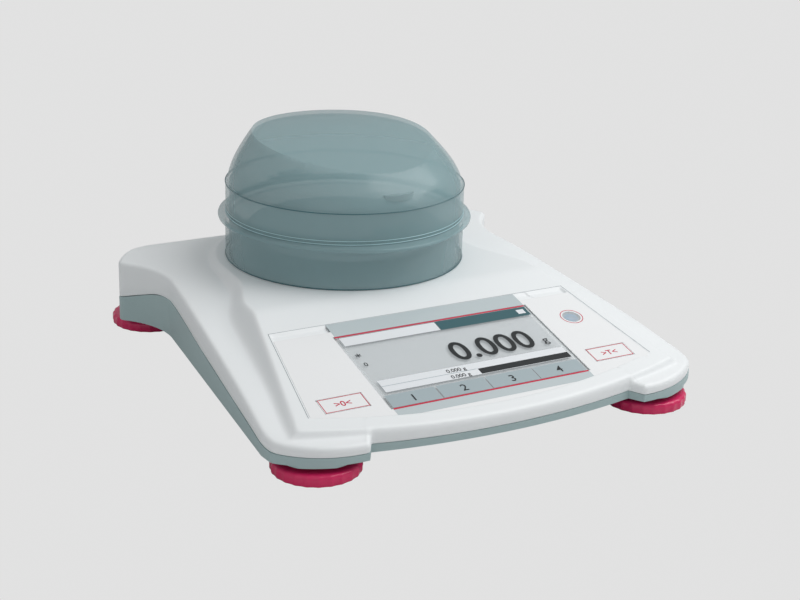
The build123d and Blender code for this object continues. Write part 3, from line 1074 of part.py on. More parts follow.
with BuildPart() as battery_cover:
    cover_x = COVER_SIZE[0] / 2
    cover_y = (BATTERY_Y - COVER_SIZE[1] / 2, BATTERY_Y + COVER_SIZE[1] / 2)
    cover_top = CASE_BOTTOM_Z + COVER_THICKNESS
    add(block_between((-cover_x, cover_x), cover_y, (CASE_BOTTOM_Z, cover_top)))
    for tab_y in COVER_TAB_Y:
        tab_range = (tab_y - COVER_TAB[1] / 2, tab_y + COVER_TAB[1] / 2)
        reach = cover_x + COVER_TAB[0]
        add(block_between((-reach, reach), tab_range, (cover_top - COVER_TAB[2], cover_top)))
    # Finger grooves across the pull side
    for step in (0, 1, 2):
        groove_y = BATTERY_Y - COVER_SIZE[1] / 2 + 4 + 2.4 * step
        half = FINGER_POCKET[0] / 2
        groove = (groove_y, groove_y + 1.2)
        depth = (CASE_BOTTOM_Z - 1, CASE_BOTTOM_Z + FINGER_POCKET[2])
        add(block_between((-half, half), groove, depth), mode=Mode.SUBTRACT)
battery_cover.part.label = "battery_cover"
export_step(battery_cover.part, "parts/battery_cover.step")


# Main board, sockets and underside fittings

with BuildPart() as main_board:
    board_x = (MAIN_BOARD_X - MAIN_BOARD_SIZE[0] / 2, MAIN_BOARD_X + MAIN_BOARD_SIZE[0] / 2)
    board_y = (MAIN_BOARD_Y - MAIN_BOARD_SIZE[1] / 2, MAIN_BOARD_Y + MAIN_BOARD_SIZE[1] / 2)
    board_top = MAIN_BOARD_Z + BOARD_THICKNESS
    add(block_between(board_x, board_y, (MAIN_BOARD_Z, board_top)))
    # Processor, converter chip, capacitors and connectors
    chips = ((-1, 1, 14, 14, 1.4), (-12, -16, 8, 8, 1.6), (14, -15, 12, 6, 5.0))
    for shift_x, shift_y, length, width, height in chips:
        chip_x = (MAIN_BOARD_X + shift_x - length / 2, MAIN_BOARD_X + shift_x + length / 2)
        chip_y = (MAIN_BOARD_Y + shift_y - width / 2, MAIN_BOARD_Y + shift_y + width / 2)
        add(block_between(chip_x, chip_y, (board_top, board_top + height)))
    for spot in ((MAIN_BOARD_X - 13, MAIN_BOARD_Y + 18), (MAIN_BOARD_X - 2, MAIN_BOARD_Y + 20)):
        add(column(*spot, 3.2, board_top, board_top + 7.0))
    # Slide switch under the board
    switch_x = (CAL_SWITCH_X - CAL_SWITCH_BODY[0] / 2, CAL_SWITCH_X + CAL_SWITCH_BODY[0] / 2)
    switch_y = (CAL_SWITCH_Y - CAL_SWITCH_BODY[1] / 2, CAL_SWITCH_Y + CAL_SWITCH_BODY[1] / 2)
    add(block_between(switch_x, switch_y, (MAIN_BOARD_Z - CAL_SWITCH_BODY[2], MAIN_BOARD_Z)))
    for spot in main_post_places():
        hole = column(*spot, BOARD_SCREW_RADIUS + FIT_GAP, MAIN_BOARD_Z - 1, board_top + 1)
        add(hole, mode=Mode.SUBTRACT)
main_board.part.label = "main_board"
export_step(main_board.part, "parts/main_board.step")

with BuildPart() as board_screws:
    for place in board_post_places():
        add(console_column(place, BOARD_SCREW_HEAD_RADIUS, BOARD_BACK, 1.3))
        shank_top = BOARD_BACK - BOARD_SCREW_LENGTH
        add(console_column(place, BOARD_SCREW_RADIUS, shank_top, BOARD_SCREW_LENGTH))
    for spot in main_post_places():
        add(column(*spot, BOARD_SCREW_HEAD_RADIUS, board_top, board_top + 1.3))
        add(column(*spot, BOARD_SCREW_RADIUS, board_top - BOARD_SCREW_LENGTH, board_top))
board_screws.part.label = "board_screws"
export_step(board_screws.part, "parts/board_screws.step")

with BuildPart() as housing_screws:
    for spot in SCREW_PLACES:
        add(column(*spot, SCREW_HEAD_RADIUS, SCREW_HEAD_Z - SCREW_HEAD_HEIGHT, SCREW_HEAD_Z))
        add(column(*spot, SCREW_RADIUS, SCREW_HEAD_Z, SCREW_TOP_Z - 0.5))
        for turn in (0, 90):
            with BuildSketch(Plane.XY.offset(SCREW_HEAD_Z - SCREW_HEAD_HEIGHT)):
                with Locations(Location((*spot, 0), turn)):
                    Rectangle(3.4, 0.8)
            extrude(amount=1.1, mode=Mode.SUBTRACT)
housing_screws.part.label = "housing_screws"
export_step(housing_screws.part, "parts/housing_screws.step")

DC_REAR_Y = rear_wall_y(DC_SOCKET_X + DC_SOCKET_SIZE[0] / 2) - WALL - 0.1
USB_REAR_Y = rear_wall_y(USB_SOCKET_X + USB_SOCKET_SIZE[0] / 2) - 0.3

with BuildPart() as dc_socket:
    body_x = (DC_SOCKET_X - DC_SOCKET_SIZE[0] / 2, DC_SOCKET_X + DC_SOCKET_SIZE[0] / 2)
    body_z = (SOCKET_Z - DC_SOCKET_SIZE[2] / 2, SOCKET_Z + DC_SOCKET_SIZE[2] / 2)
    add(block_between(body_x, (DC_REAR_Y - DC_SOCKET_SIZE[1], DC_REAR_Y), body_z))
    with BuildSketch(Plane.XZ.offset(-DC_REAR_Y - 1)):
        with Locations((DC_SOCKET_X, SOCKET_Z)):
            Circle(DC_BORE_RADIUS)
            Circle(DC_PIN_RADIUS, mode=Mode.SUBTRACT)
    extrude(amount=DC_BORE_DEPTH + 1, mode=Mode.SUBTRACT)
dc_socket.part.label = "dc_socket"
export_step(dc_socket.part, "parts/dc_socket.step")

with BuildPart() as usb_port:
    port_x = (USB_SOCKET_X - USB_SOCKET_SIZE[0] / 2, USB_SOCKET_X + USB_SOCKET_SIZE[0] / 2)
    port_z = (SOCKET_Z - USB_SOCKET_SIZE[2] / 2, SOCKET_Z + USB_SOCKET_SIZE[2] / 2)
    add(block_between(port_x, (USB_REAR_Y - USB_SOCKET_SIZE[1], USB_REAR_Y), port_z))
    mouth_x = (USB_SOCKET_X - USB_MOUTH[0] / 2, USB_SOCKET_X + USB_MOUTH[0] / 2)
    mouth_z = (SOCKET_Z - USB_MOUTH[1] / 2, SOCKET_Z + USB_MOUTH[1] / 2)
    add(block_between(mouth_x, (USB_REAR_Y - USB_DEPTH, USB_REAR_Y + 1), mouth_z), mode=Mode.SUBTRACT)
    tongue_x = (mouth_x[0] + 0.8, mouth_x[1] - 0.8)
    tongue_z = (SOCKET_Z, SOCKET_Z + USB_TONGUE)
    add(block_between(tongue_x, (USB_REAR_Y - USB_DEPTH - 0.5, USB_REAR_Y - 1), tongue_z))
usb_port.part.label = "usb_port"
export_step(usb_port.part, "parts/usb_port.step")

with BuildPart() as transport_lock:
    knob_top = CASE_BOTTOM_Z + LOCK_THICKNESS
    arm_z = LOCK_TOP_Z + FLOOR + 0.1
    add(column(LOCK_X, LOCK_Y, LOCK_RADIUS, CASE_BOTTOM_Z, knob_top))
    add(column(LOCK_X, LOCK_Y, LOCK_STEM_RADIUS, knob_top, arm_z))
    with BuildSketch(Plane.XY.offset(arm_z)):
        with Locations((LOCK_X, LOCK_Y + LOCK_ARM[0] / 2 - LOCK_ARM[1] / 2)):
            SlotOverall(LOCK_ARM[0], LOCK_ARM[1], rotation=90)
    extrude(amount=LOCK_ARM[2])
    slot_x = (LOCK_X - LOCK_SLOT[1] / 2, LOCK_X + LOCK_SLOT[1] / 2)
    slot_y = (LOCK_Y - LOCK_SLOT[0] / 2, LOCK_Y + LOCK_SLOT[0] / 2)
    add(block_between(slot_x, slot_y, (CASE_BOTTOM_Z - 1, CASE_BOTTOM_Z + 1.6)), mode=Mode.SUBTRACT)
transport_lock.part.label = "transport_lock"
export_step(transport_lock.part, "parts/transport_lock.step")

with BuildPart() as weigh_below_hook:
    plate_y = (BRACKET_SCREW_Y - HOOK_PLATE[1] / 2, BRACKET_SCREW_Y + HOOK_PLATE[1] / 2)
    plate_x = (-HOOK_PLATE[0] / 2, HOOK_PLATE[0] / 2)
    add(block_between(plate_x, plate_y, (HOOK_RECESS_Z + 0.4, CELL_BOTTOM_Z)))
    with BuildSketch(Plane.YZ.offset(-HOOK_PLATE[0])):
        with Locations((BRACKET_SCREW_Y, (HOOK_RECESS_Z + CELL_BOTTOM_Z) / 2)):
            Circle(HOOK_EYE_RADIUS)
    extrude(amount=2 * HOOK_PLATE[0], mode=Mode.SUBTRACT)
weigh_below_hook.part.label = "weigh_below_hook"
export_step(weigh_below_hook.part, "parts/weigh_below_hook.step")

with BuildPart() as hook_cover:
    cover_top = CASE_BOTTOM_Z + HOOK_COVER_THICKNESS
    plug_radius = HOOK_COVER_RADIUS - 2 - 0.1
    add(column(0, BRACKET_SCREW_Y, HOOK_COVER_RADIUS, CASE_BOTTOM_Z, cover_top))
    add(column(0, BRACKET_SCREW_Y, plug_radius, cover_top, FLOOR_TOP_Z + 0.4))
    add(column(0, BRACKET_SCREW_Y, plug_radius - 1, cover_top, FLOOR_TOP_Z + 1), mode=Mode.SUBTRACT)
    coin_slot = (CASE_BOTTOM_Z - 1, CASE_BOTTOM_Z + 0.7)
    slot_y = (BRACKET_SCREW_Y - 0.9, BRACKET_SCREW_Y + 0.9)
    add(block_between((-5, 5), slot_y, coin_slot), mode=Mode.SUBTRACT)
hook_cover.part.label = "hook_cover"
export_step(hook_cover.part, "parts/hook_cover.step")

with BuildPart() as calibration_switch:
    rest_x = CAL_SWITCH_X - CAL_SWITCH_TRAVEL / 2
    stem_x = (rest_x - CAL_SWITCH_SIZE[0] / 2, rest_x + CAL_SWITCH_SIZE[0] / 2)
    stem_y = (CAL_SWITCH_Y - CAL_SWITCH_SIZE[1] / 2, CAL_SWITCH_Y + CAL_SWITCH_SIZE[1] / 2)
    flange_x = (rest_x - CAL_SWITCH_FLANGE[0] / 2, rest_x + CAL_SWITCH_FLANGE[0] / 2)
    flange_y = (CAL_SWITCH_Y - CAL_SWITCH_FLANGE[1] / 2, CAL_SWITCH_Y + CAL_SWITCH_FLANGE[1] / 2)
    flange_z = (FLOOR_TOP_Z + 0.05, FLOOR_TOP_Z + 0.05 + CAL_SWITCH_FLANGE[2])
    add(block_between(stem_x, stem_y, (CASE_BOTTOM_Z + 0.2, flange_z[0])))
    add(block_between(flange_x, flange_y, flange_z))
    for shift in (-2.0, 0.0, 2.0):
        rib_x = (rest_x + shift - 0.4, rest_x + shift + 0.4)
        add(block_between(rib_x, stem_y, (CASE_BOTTOM_Z, CASE_BOTTOM_Z + 0.7)), mode=Mode.SUBTRACT)
calibration_switch.part.label = "calibration_switch"
export_step(calibration_switch.part, "parts/calibration_switch.step")
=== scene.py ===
"""Looks of a portable laboratory balance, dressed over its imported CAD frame.

Front is -Y, right is +X, the bench is Z = 0. Sizes are in millimetres and become metres in the meshes.
"""

from __future__ import annotations

import logging
import math
from dataclasses import dataclass
from enum import Enum
from typing import Optional, Sequence

import bmesh
import bpy
import numpy as np
from mathutils import Matrix, Vector

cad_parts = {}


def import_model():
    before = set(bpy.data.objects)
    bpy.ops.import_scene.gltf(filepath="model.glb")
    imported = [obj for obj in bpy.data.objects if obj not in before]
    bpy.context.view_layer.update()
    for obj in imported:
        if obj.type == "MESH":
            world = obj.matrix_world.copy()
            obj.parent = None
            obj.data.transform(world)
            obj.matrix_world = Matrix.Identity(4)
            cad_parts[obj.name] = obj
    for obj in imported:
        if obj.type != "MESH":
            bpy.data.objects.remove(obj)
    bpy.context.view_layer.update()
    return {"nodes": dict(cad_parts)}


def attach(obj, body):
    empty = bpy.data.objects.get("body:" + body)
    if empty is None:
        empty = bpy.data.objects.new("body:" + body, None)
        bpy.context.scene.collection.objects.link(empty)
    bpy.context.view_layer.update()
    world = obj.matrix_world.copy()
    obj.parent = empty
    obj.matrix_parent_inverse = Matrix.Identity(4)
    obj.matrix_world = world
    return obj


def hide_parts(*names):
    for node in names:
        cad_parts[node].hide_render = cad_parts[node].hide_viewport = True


MM = 0.001
LOG = logging.getLogger("balance")
Colour = tuple[float, float, float]
Span = tuple[float, float]

# Places that several classes share, in millimetres and degrees.
PLATFORM_Z = 39.5
RIDGE_Y = -15.2
CONSOLE_TILT = 13.2
SHIELD_Y = 43.0
LEVEL_ACROSS = 64.2
LEVEL_DOWN = 42.1

# Most plan points that signed_distance compares at once, to spare memory.
DISTANCE_BATCH = 40000


# Mesh tools


def add_object(name: str, data: Optional[bpy.types.ID]) -> bpy.types.Object:
    """New object with the given data, linked to the scene."""
    made = bpy.data.objects.new(name, data)
    bpy.context.scene.collection.objects.link(made)
    return made


def put_mesh(name: str, points: np.ndarray, faces: np.ndarray, smooth: bool = True) -> bpy.types.Object:
    """Makes an object at the origin from points in millimetres and four-sided faces.

    Args:
        name: Name of the object and its mesh.
        points: Array of (n, 3) places in millimetres.
        faces: Array of (m, k) point numbers, counter-clockwise from outside.
        smooth: Whether the faces are shaded smooth.

    Returns:
        The new object, linked to the scene.
    """
    mesh = bpy.data.meshes.new(name)
    faces = np.asarray(faces, np.int32)
    count, corners = faces.shape
    mesh.vertices.add(len(points))
    mesh.vertices.foreach_set("co", (np.asarray(points, float) * MM).astype(np.float32).ravel())
    mesh.loops.add(count * corners)
    mesh.loops.foreach_set("vertex_index", faces.ravel())
    mesh.polygons.add(count)
    mesh.polygons.foreach_set("loop_start", np.arange(0, count * corners, corners, dtype=np.int32))
    mesh.polygons.foreach_set("use_smooth", np.full(count, smooth))
    mesh.update(calc_edges=True)
    mesh.validate()
    return add_object(name, mesh)


def grid_faces(rows: int, columns: int, wrap_rows: bool = False) -> np.ndarray:
    """Four-sided faces of rings of points, numbered ring by ring.

    Args:
        rows: Number of rings.
        columns: Number of points in a ring.
        wrap_rows: Whether the last ring joins the first.

    Returns:
        Array of (faces, 4) point numbers.
    """
    i = np.arange(rows if wrap_rows else rows - 1)[:, None]
    j = np.arange(columns)[None, :]
    below = (i + 1) % rows
    beside = (j + 1) % columns
    corners = (i * columns + j, i * columns + beside, below * columns + beside, below * columns + j)
    return np.stack([np.broadcast_to(c, (len(i), columns)).ravel() for c in corners], -1)


def put_grid(name: str, grid: np.ndarray, wrap_rows: bool = False) -> bpy.types.Object:
    """Object whose surface is a grid of places, rows by columns by 3, in millimetres. Each row is a ring."""
    rows, columns = grid.shape[:2]
    return put_mesh(name, grid.reshape(-1, 3), grid_faces(rows, columns, wrap_rows))


def ring_grid(profile: np.ndarray, centre: Sequence[float], segments: int) -> np.ndarray:
    """Surface of revolution: each profile point (radius, height) turns round the upright centre line."""
    turn = np.linspace(0, 2 * np.pi, segments, endpoint=False)
    radius = profile[:, 0][:, None]
    height = np.broadcast_to(profile[:, 1][:, None], (len(profile), segments))
    return np.stack([centre[0] + radius * np.cos(turn), centre[1] + radius * np.sin(turn), height], -1)


def even_points(path: np.ndarray, count: int, weight: Optional[np.ndarray] = None) -> np.ndarray:
    """Closed path sampled again at equal steps of weighted length."""
    loop = np.vstack([path, path[:1]])
    step = np.linalg.norm(np.diff(loop, axis=0), axis=1)
    if weight is not None:
        step = step * weight
    along = np.concatenate([[0], np.cumsum(step)])
    want = np.linspace(0, along[-1], count, endpoint=False)
    return np.stack([np.interp(want, along, loop[:, k]) for k in range(path.shape[1])], -1)


def soften(path: np.ndarray, spread: float) -> np.ndarray:
    """Closed, evenly sampled path smoothed by a bell curve of the given spread in millimetres."""
    step = np.linalg.norm(np.diff(path, axis=0), axis=1).mean()
    reach = max(1, int(4 * spread / step))
    offsets = np.arange(-reach, reach + 1)
    bell = np.exp(-0.5 * (offsets * step / spread) ** 2)
    bell /= bell.sum()
    return sum(w * np.roll(path, -o, axis=0) for o, w in zip(offsets, bell))


def three_point_arc(a: Span, b: Span, c: Span, steps: int = 60) -> np.ndarray:
    """Points along the circle from a through b to c, without the last one."""
    (ax, ay), (bx, by), (cx, cy) = a, b, c
    d = 2 * (ax * (by - cy) + bx * (cy - ay) + cx * (ay - by))
    ux = ((ax**2 + ay**2) * (by - cy) + (bx**2 + by**2) * (cy - ay) + (cx**2 + cy**2) * (ay - by)) / d
    uy = ((ax**2 + ay**2) * (cx - bx) + (bx**2 + by**2) * (ax - cx) + (cx**2 + cy**2) * (bx - ax)) / d
    radius = math.hypot(ax - ux, ay - uy)
    angles = [math.atan2(y - uy, x - ux) for x, y in (a, b, c)]
    middle = angles[0] + (angles[1] - angles[0] + math.pi) % (2 * math.pi) - math.pi
    end = middle + (angles[2] - middle + math.pi) % (2 * math.pi) - math.pi
    t = np.linspace(angles[0], end, steps, endpoint=False)
    return np.stack([ux + radius * np.cos(t), uy + radius * np.sin(t)], -1)


def signed_distance(points: np.ndarray, loop: np.ndarray) -> np.ndarray:
    """Distance of plan points to a closed outline, below zero inside it.

    The distance is the least one to any side, and the sign counts the sides crossed by a ray along +X.
    """
    flat = points.reshape(-1, 2)
    start, end = loop, np.roll(loop, -1, 0)
    side = end - start
    length = np.maximum((side**2).sum(1), 1e-12)
    out = np.empty(len(flat))
    for first in range(0, len(flat), DISTANCE_BATCH):
        part = flat[first : first + DISTANCE_BATCH]
        rel = part[:, None, :] - start[None]
        t = np.clip((rel * side).sum(-1) / length, 0, 1)
        near = np.sqrt(((rel - t[..., None] * side) ** 2).sum(-1).min(1))
        crosses = (start[None, :, 1] > part[:, None, 1]) != (end[None, :, 1] > part[:, None, 1])
        rise = np.where(side[:, 1] == 0, 1e-12, side[:, 1])
        hit_x = start[:, 0] + (part[:, None, 1] - start[:, 1]) / rise * side[:, 0]
        inside = (crosses & (part[:, None, 0] < hit_x)).sum(1) % 2 == 1
        out[first : first + DISTANCE_BATCH] = np.where(inside, -near, near)
    return out.reshape(points.shape[:-1])


def soft_min(a: np.ndarray, b: np.ndarray, width: float) -> np.ndarray:
    """The lower of two heights, with a smooth change where they are within width of each other."""
    h = np.clip(0.5 + 0.5 * (b - a) / width, 0, 1)
    return b + (a - b) * h - width * h * (1 - h)


def soft_max(a: np.ndarray, b: np.ndarray, width: float) -> np.ndarray:
    """The higher of two heights, with a smooth change where they are within width of each other."""
    return -soft_min(-a, -b, width)


def smooth_step(x: np.ndarray, low: float, high: float) -> np.ndarray:
    """0 at low, 1 at high, level at both ends."""
    t = np.clip((x - low) / (high - low), 0, 1)
    return t * t * (3 - 2 * t)


def flowing(x: np.ndarray, knots: Sequence[Sequence[float]]) -> np.ndarray:
    """Smooth curve through knots: cubic pieces whose slopes are the mean of their neighbours'."""
    kx, ky = np.array(knots, float).T
    slope = np.gradient(ky, kx)
    i = np.clip(np.searchsorted(kx, x) - 1, 0, len(kx) - 2)
    h = kx[i + 1] - kx[i]
    t = np.clip((x - kx[i]) / h, 0, 1)
    a = (1 + 2 * t) * (1 - t) ** 2 * ky[i] + t * (1 - t) ** 2 * h * slope[i]
    return a + t * t * (3 - 2 * t) * ky[i + 1] + t * t * (t - 1) * h * slope[i + 1]


# Finishes


def set_inputs(node: bpy.types.Node, **values: object) -> bpy.types.Node:
    """Sets inputs of a shader node by name, an underscore standing for a space, and hands the node back."""
    for name, value in values.items():
        node.inputs[name.replace("_", " ")].default_value = value
    return node


@dataclass(frozen=True)
class Finish:
    """A surface finish: colour, gloss and fine moulded grain, made as a node material.

    Attributes:
        name: Name of the material.
        colour: Base colour, linear.
        roughness: Roughness of the surface.
        metal: How metallic it is.
        coat: Weight of the clear coat.
        grain: Strength of the fine bump.
        grain_scale: Scale of the bump's noise, per metre.
        tint: Share by which the colour drifts from place to place.
        through: Share of the light that passes through.
        ior: Index of refraction.
        coat_roughness: Roughness of the clear coat.
        drift_scale: Scale of the colour's drift, per metre.
        grain_height: Height of the bump, in metres.
    """

    name: str
    colour: Colour
    roughness: float = 0.4
    metal: float = 0.0
    coat: float = 0.0
    grain: float = 0.0
    grain_scale: float = 1500.0
    tint: float = 0.03
    through: float = 0.0
    ior: float = 1.46
    coat_roughness: float = 0.06
    drift_scale: float = 28.0
    grain_height: float = 0.0002

    def material(self) -> bpy.types.Material:
        """The node material of this finish, made once."""
        found = bpy.data.materials.get(self.name)
        if found:
            return found
        made = bpy.data.materials.new(self.name)
        made.use_nodes = True
        nodes, links = made.node_tree.nodes, made.node_tree.links
        base = (*self.colour, 1)
        shader = set_inputs(
            nodes["Principled BSDF"],
            Base_Color=base,
            Roughness=self.roughness,
            Metallic=self.metal,
            Coat_Weight=self.coat,
            Coat_Roughness=self.coat_roughness,
            IOR=self.ior,
            Transmission_Weight=self.through,
        )
        place = nodes.new("ShaderNodeTexCoord")
        if self.tint > 0:
            cloud = set_inputs(nodes.new("ShaderNodeTexNoise"), Scale=self.drift_scale, Detail=3.0)
            ramp = set_inputs(nodes.new("ShaderNodeMapRange"), To_Min=1 - self.tint, To_Max=1 + self.tint)
            shade = nodes.new("ShaderNodeMix")
            shade.data_type = "RGBA"
            shade.blend_type = "MULTIPLY"
            set_inputs(shade, Factor=1.0, A=base)
            links.new(place.outputs["Object"], cloud.inputs["Vector"])
            links.new(cloud.outputs["Fac"], ramp.inputs["Value"])
            links.new(ramp.outputs["Result"], shade.inputs["B"])
            links.new(shade.outputs["Result"], shader.inputs["Base Color"])
        if self.grain > 0:
            fine = set_inputs(nodes.new("ShaderNodeTexNoise"), Scale=self.grain_scale, Detail=2.0)
            bump = set_inputs(nodes.new("ShaderNodeBump"), Strength=self.grain, Distance=self.grain_height)
            links.new(place.outputs["Object"], fine.inputs["Vector"])
            links.new(fine.outputs["Fac"], bump.inputs["Height"])
            links.new(bump.outputs["Normal"], shader.inputs["Normal"])
        return made

    def dress(self, piece: bpy.types.Object) -> bpy.types.Object:
        """Puts the finish on every material slot of a piece."""
        piece.data.materials.clear()
        piece.data.materials.append(self.material())
        return piece


class Look(Enum):
    """Finishes used on the balance."""

    WHITE_SHELL = Finish("white_shell", (0.72, 0.80, 0.86), 0.34, coat=0.25, grain=0.10, tint=0.012)
    GREY_SHELL = Finish("grey_shell", (0.22, 0.36, 0.38), 0.45, grain=0.20, tint=0.03)
    FILM = Finish("printed_film", (0.76, 0.82, 0.90), 0.22, coat=0.5, tint=0.008)
    SMOKE = Finish("smoky_shield", (0.19, 0.55, 0.59), 0.12, through=0.82, coat=0.6, tint=0.02)
    RED = Finish("red_plastic", (0.80, 0.006, 0.07), 0.30, coat=0.5, grain=0.08, tint=0.04)
    RUBBER = Finish("black_rubber", (0.022, 0.022, 0.024), 0.72, grain=0.35)
    STEEL = Finish("screw_steel", (0.62, 0.63, 0.64), 0.28, metal=1.0, grain=0.12)
    PAN = Finish("pan_steel", (0.66, 0.68, 0.69), 0.24, metal=1.0, grain=0.06)
    ALUMINIUM = Finish("cell_aluminium", (0.72, 0.73, 0.74), 0.36, metal=1.0, grain=0.18)
    BOARD = Finish(
        "circuit_board", (0.015, 0.16, 0.06), 0.42, coat=0.3, grain=0.15, grain_scale=700.0, tint=0.12
    )
    BLACK = Finish("switch_black", (0.016, 0.016, 0.018), 0.42, grain=0.2)
    MODULE = Finish("screen_module", (0.30, 0.33, 0.35), 0.4, grain=0.1)
    JACKET = Finish("battery_jacket", (0.05, 0.055, 0.065), 0.25, coat=0.6, tint=0.08)
    VIAL = Finish("clear_vial", (0.85, 0.93, 0.96), 0.05, through=0.9, tint=0.0)
    LIQUID = Finish("level_liquid", (0.05, 0.24, 0.42), 0.12, coat=1.0, tint=0.06)
    SCREEN = Finish("screen_glass", (0.78, 0.84, 0.90), 0.30, coat=0.3, tint=0.012)
    PANEL = Finish("panel_grey", (0.56, 0.63, 0.65), 0.30, coat=0.3, tint=0.012)
    INK_RED = Finish("ink_red", (0.62, 0.006, 0.05), 0.4, tint=0.0)
    INK_DARK = Finish("ink_dark", (0.006, 0.010, 0.012), 0.4, tint=0.0)
    INK_TEAL = Finish("ink_teal", (0.035, 0.12, 0.14), 0.4, tint=0.0)
    INK_WHITE = Finish("ink_white", (0.84, 0.87, 0.90), 0.4, tint=0.0)
    # Painted shade: dark teal for the thin lines at the lid's crease and along the ring's foot.
    SHADE_LINE = Finish("painted_shade_line", (0.03, 0.12, 0.14), 0.3, coat=0.5, tint=0.0)
    # Painted highlight: light teal for the thin lines along the lid's lower rim.
    HIGHLIGHT_LINE = Finish("painted_highlight_line", (0.45, 0.66, 0.70), 0.2, coat=0.8, tint=0.0)
    EDGE = Finish("film_edge", (0.34, 0.38, 0.40), 0.4, tint=0.0)
    INK_GREY = Finish("ink_grey", (0.40, 0.48, 0.51), 0.4, tint=0.0)


# Camera, light and surroundings


@dataclass
class Studio:
    """Camera at the photograph's place, soft lamps, and a pale floor."""

    azimuth: float = -29.885
    elevation: float = 19.773
    roll: float = 1.799
    place: tuple[float, float, float] = (-331.55, -601.35, 276.60)
    focal_pixels: float = 1589.33
    centre_shift: tuple[float, float] = (12.725, -0.825)
    frame_width: float = 800.0
    sensor_width: float = 36.0
    backdrop: float = 0.757
    sky_strength: float = 0.50
    sky_span: Span = (-0.6, 0.9)
    sky_stops: Span = (0.0, 0.9)
    sky_low: Colour = (0.30, 0.36, 0.38)
    sky_high: Colour = (1.0, 1.0, 1.0)
    floor_grey: float = 0.72
    floor_half: float = 6000.0
    key_place: tuple[float, float, float] = (420, -160, 620)
    key_size: float = 620
    key_watts: float = 3.3
    fill_place: tuple[float, float, float] = (-620, -520, 380)
    fill_size: float = 520
    fill_watts: float = 0.3
    lamp_target: tuple[float, float, float] = (0, 0, 30.0)

    def build(self) -> None:
        """Makes the camera, the lamps, the world and the floor."""
        self.camera()
        self.world()
        self.lamps()
        self.floor()
        bpy.context.scene.view_settings.view_transform = "Standard"

    def camera(self) -> None:
        """Camera whose axes come from azimuth, elevation and roll, with a small lens shift."""
        a, e, r = (math.radians(v) for v in (self.azimuth, self.elevation, self.roll))
        back = Vector((math.sin(a) * math.cos(e), -math.cos(a) * math.cos(e), math.sin(e)))
        right = Vector((math.cos(a), math.sin(a), 0))
        up = back.cross(right)
        right_rolled = right * math.cos(r) + up * math.sin(r)
        up_rolled = up * math.cos(r) - right * math.sin(r)
        lens = bpy.data.cameras.new("camera")
        lens.sensor_width = self.sensor_width
        lens.lens = self.focal_pixels / self.frame_width * lens.sensor_width
        lens.shift_x = -self.centre_shift[0] / self.frame_width
        lens.shift_y = self.centre_shift[1] / self.frame_width
        lens.clip_start = 0.01
        body = add_object("camera", lens)
        axes = Matrix((right_rolled, up_rolled, back)).transposed().to_4x4()
        body.matrix_world = Matrix.Translation(Vector(self.place) * MM) @ axes
        bpy.context.scene.camera = body

    def backdrop_colour(self) -> tuple[float, float, float, float]:
        """Grey of the backdrop and of the floor that the camera sees."""
        return (self.backdrop, self.backdrop, self.backdrop, 1)

    def world(self) -> None:
        """Pale light from all round, brighter above, and the plain backdrop for the camera and for glass."""
        world = bpy.data.worlds.new("studio")
        world.use_nodes = True
        bpy.context.scene.world = world
        nodes, links = world.node_tree.nodes, world.node_tree.links
        nodes.clear()
        place = nodes.new("ShaderNodeTexCoord")
        split = nodes.new("ShaderNodeSeparateXYZ")
        ramp = nodes.new("ShaderNodeValToRGB")
        stops = zip(ramp.color_ramp.elements, self.sky_stops, (self.sky_low, self.sky_high))
        for stop, where, colour in stops:
            stop.position = where
            stop.color = (*colour, 1)
        low, high = self.sky_span
        lift = set_inputs(nodes.new("ShaderNodeMapRange"), From_Min=low, From_Max=high)
        light = set_inputs(nodes.new("ShaderNodeBackground"), Strength=self.sky_strength)
        seen = set_inputs(nodes.new("ShaderNodeBackground"), Color=self.backdrop_colour(), Strength=1.0)
        path = nodes.new("ShaderNodeLightPath")
        either = nodes.new("ShaderNodeMath")
        either.operation = "MAXIMUM"
        mix = nodes.new("ShaderNodeMixShader")
        out = nodes.new("ShaderNodeOutputWorld")
        links.new(place.outputs["Generated"], split.inputs["Vector"])
        links.new(split.outputs["Z"], lift.inputs["Value"])
        links.new(lift.outputs["Result"], ramp.inputs["Fac"])
        links.new(ramp.outputs["Color"], light.inputs["Color"])
        links.new(path.outputs["Is Camera Ray"], either.inputs[0])
        links.new(path.outputs["Is Transmission Ray"], either.inputs[1])
        links.new(either.outputs["Value"], mix.inputs["Fac"])
        links.new(light.outputs["Background"], mix.inputs[1])
        links.new(seen.outputs["Background"], mix.inputs[2])
        links.new(mix.outputs["Shader"], out.inputs["Surface"])

    def lamps(self) -> None:
        """A large soft lamp above at the right, and a weaker one at the left front."""
        self.lamp("key", self.key_place, self.key_size, self.key_watts)
        self.lamp("fill", self.fill_place, self.fill_size, self.fill_watts)

    def lamp(self, name: str, place: Sequence[float], size: float, watts: float) -> None:
        """Square area lamp, sizes in millimetres, aimed at the middle of the balance."""
        light = bpy.data.lights.new(name, "AREA")
        light.size = size * MM
        light.energy = watts
        body = add_object(name, light)
        spot = Vector(place) * MM
        body.location = spot
        body.rotation_mode = "QUATERNION"
        body.rotation_quaternion = (spot - Vector(self.lamp_target) * MM).to_track_quat("Z", "Y")

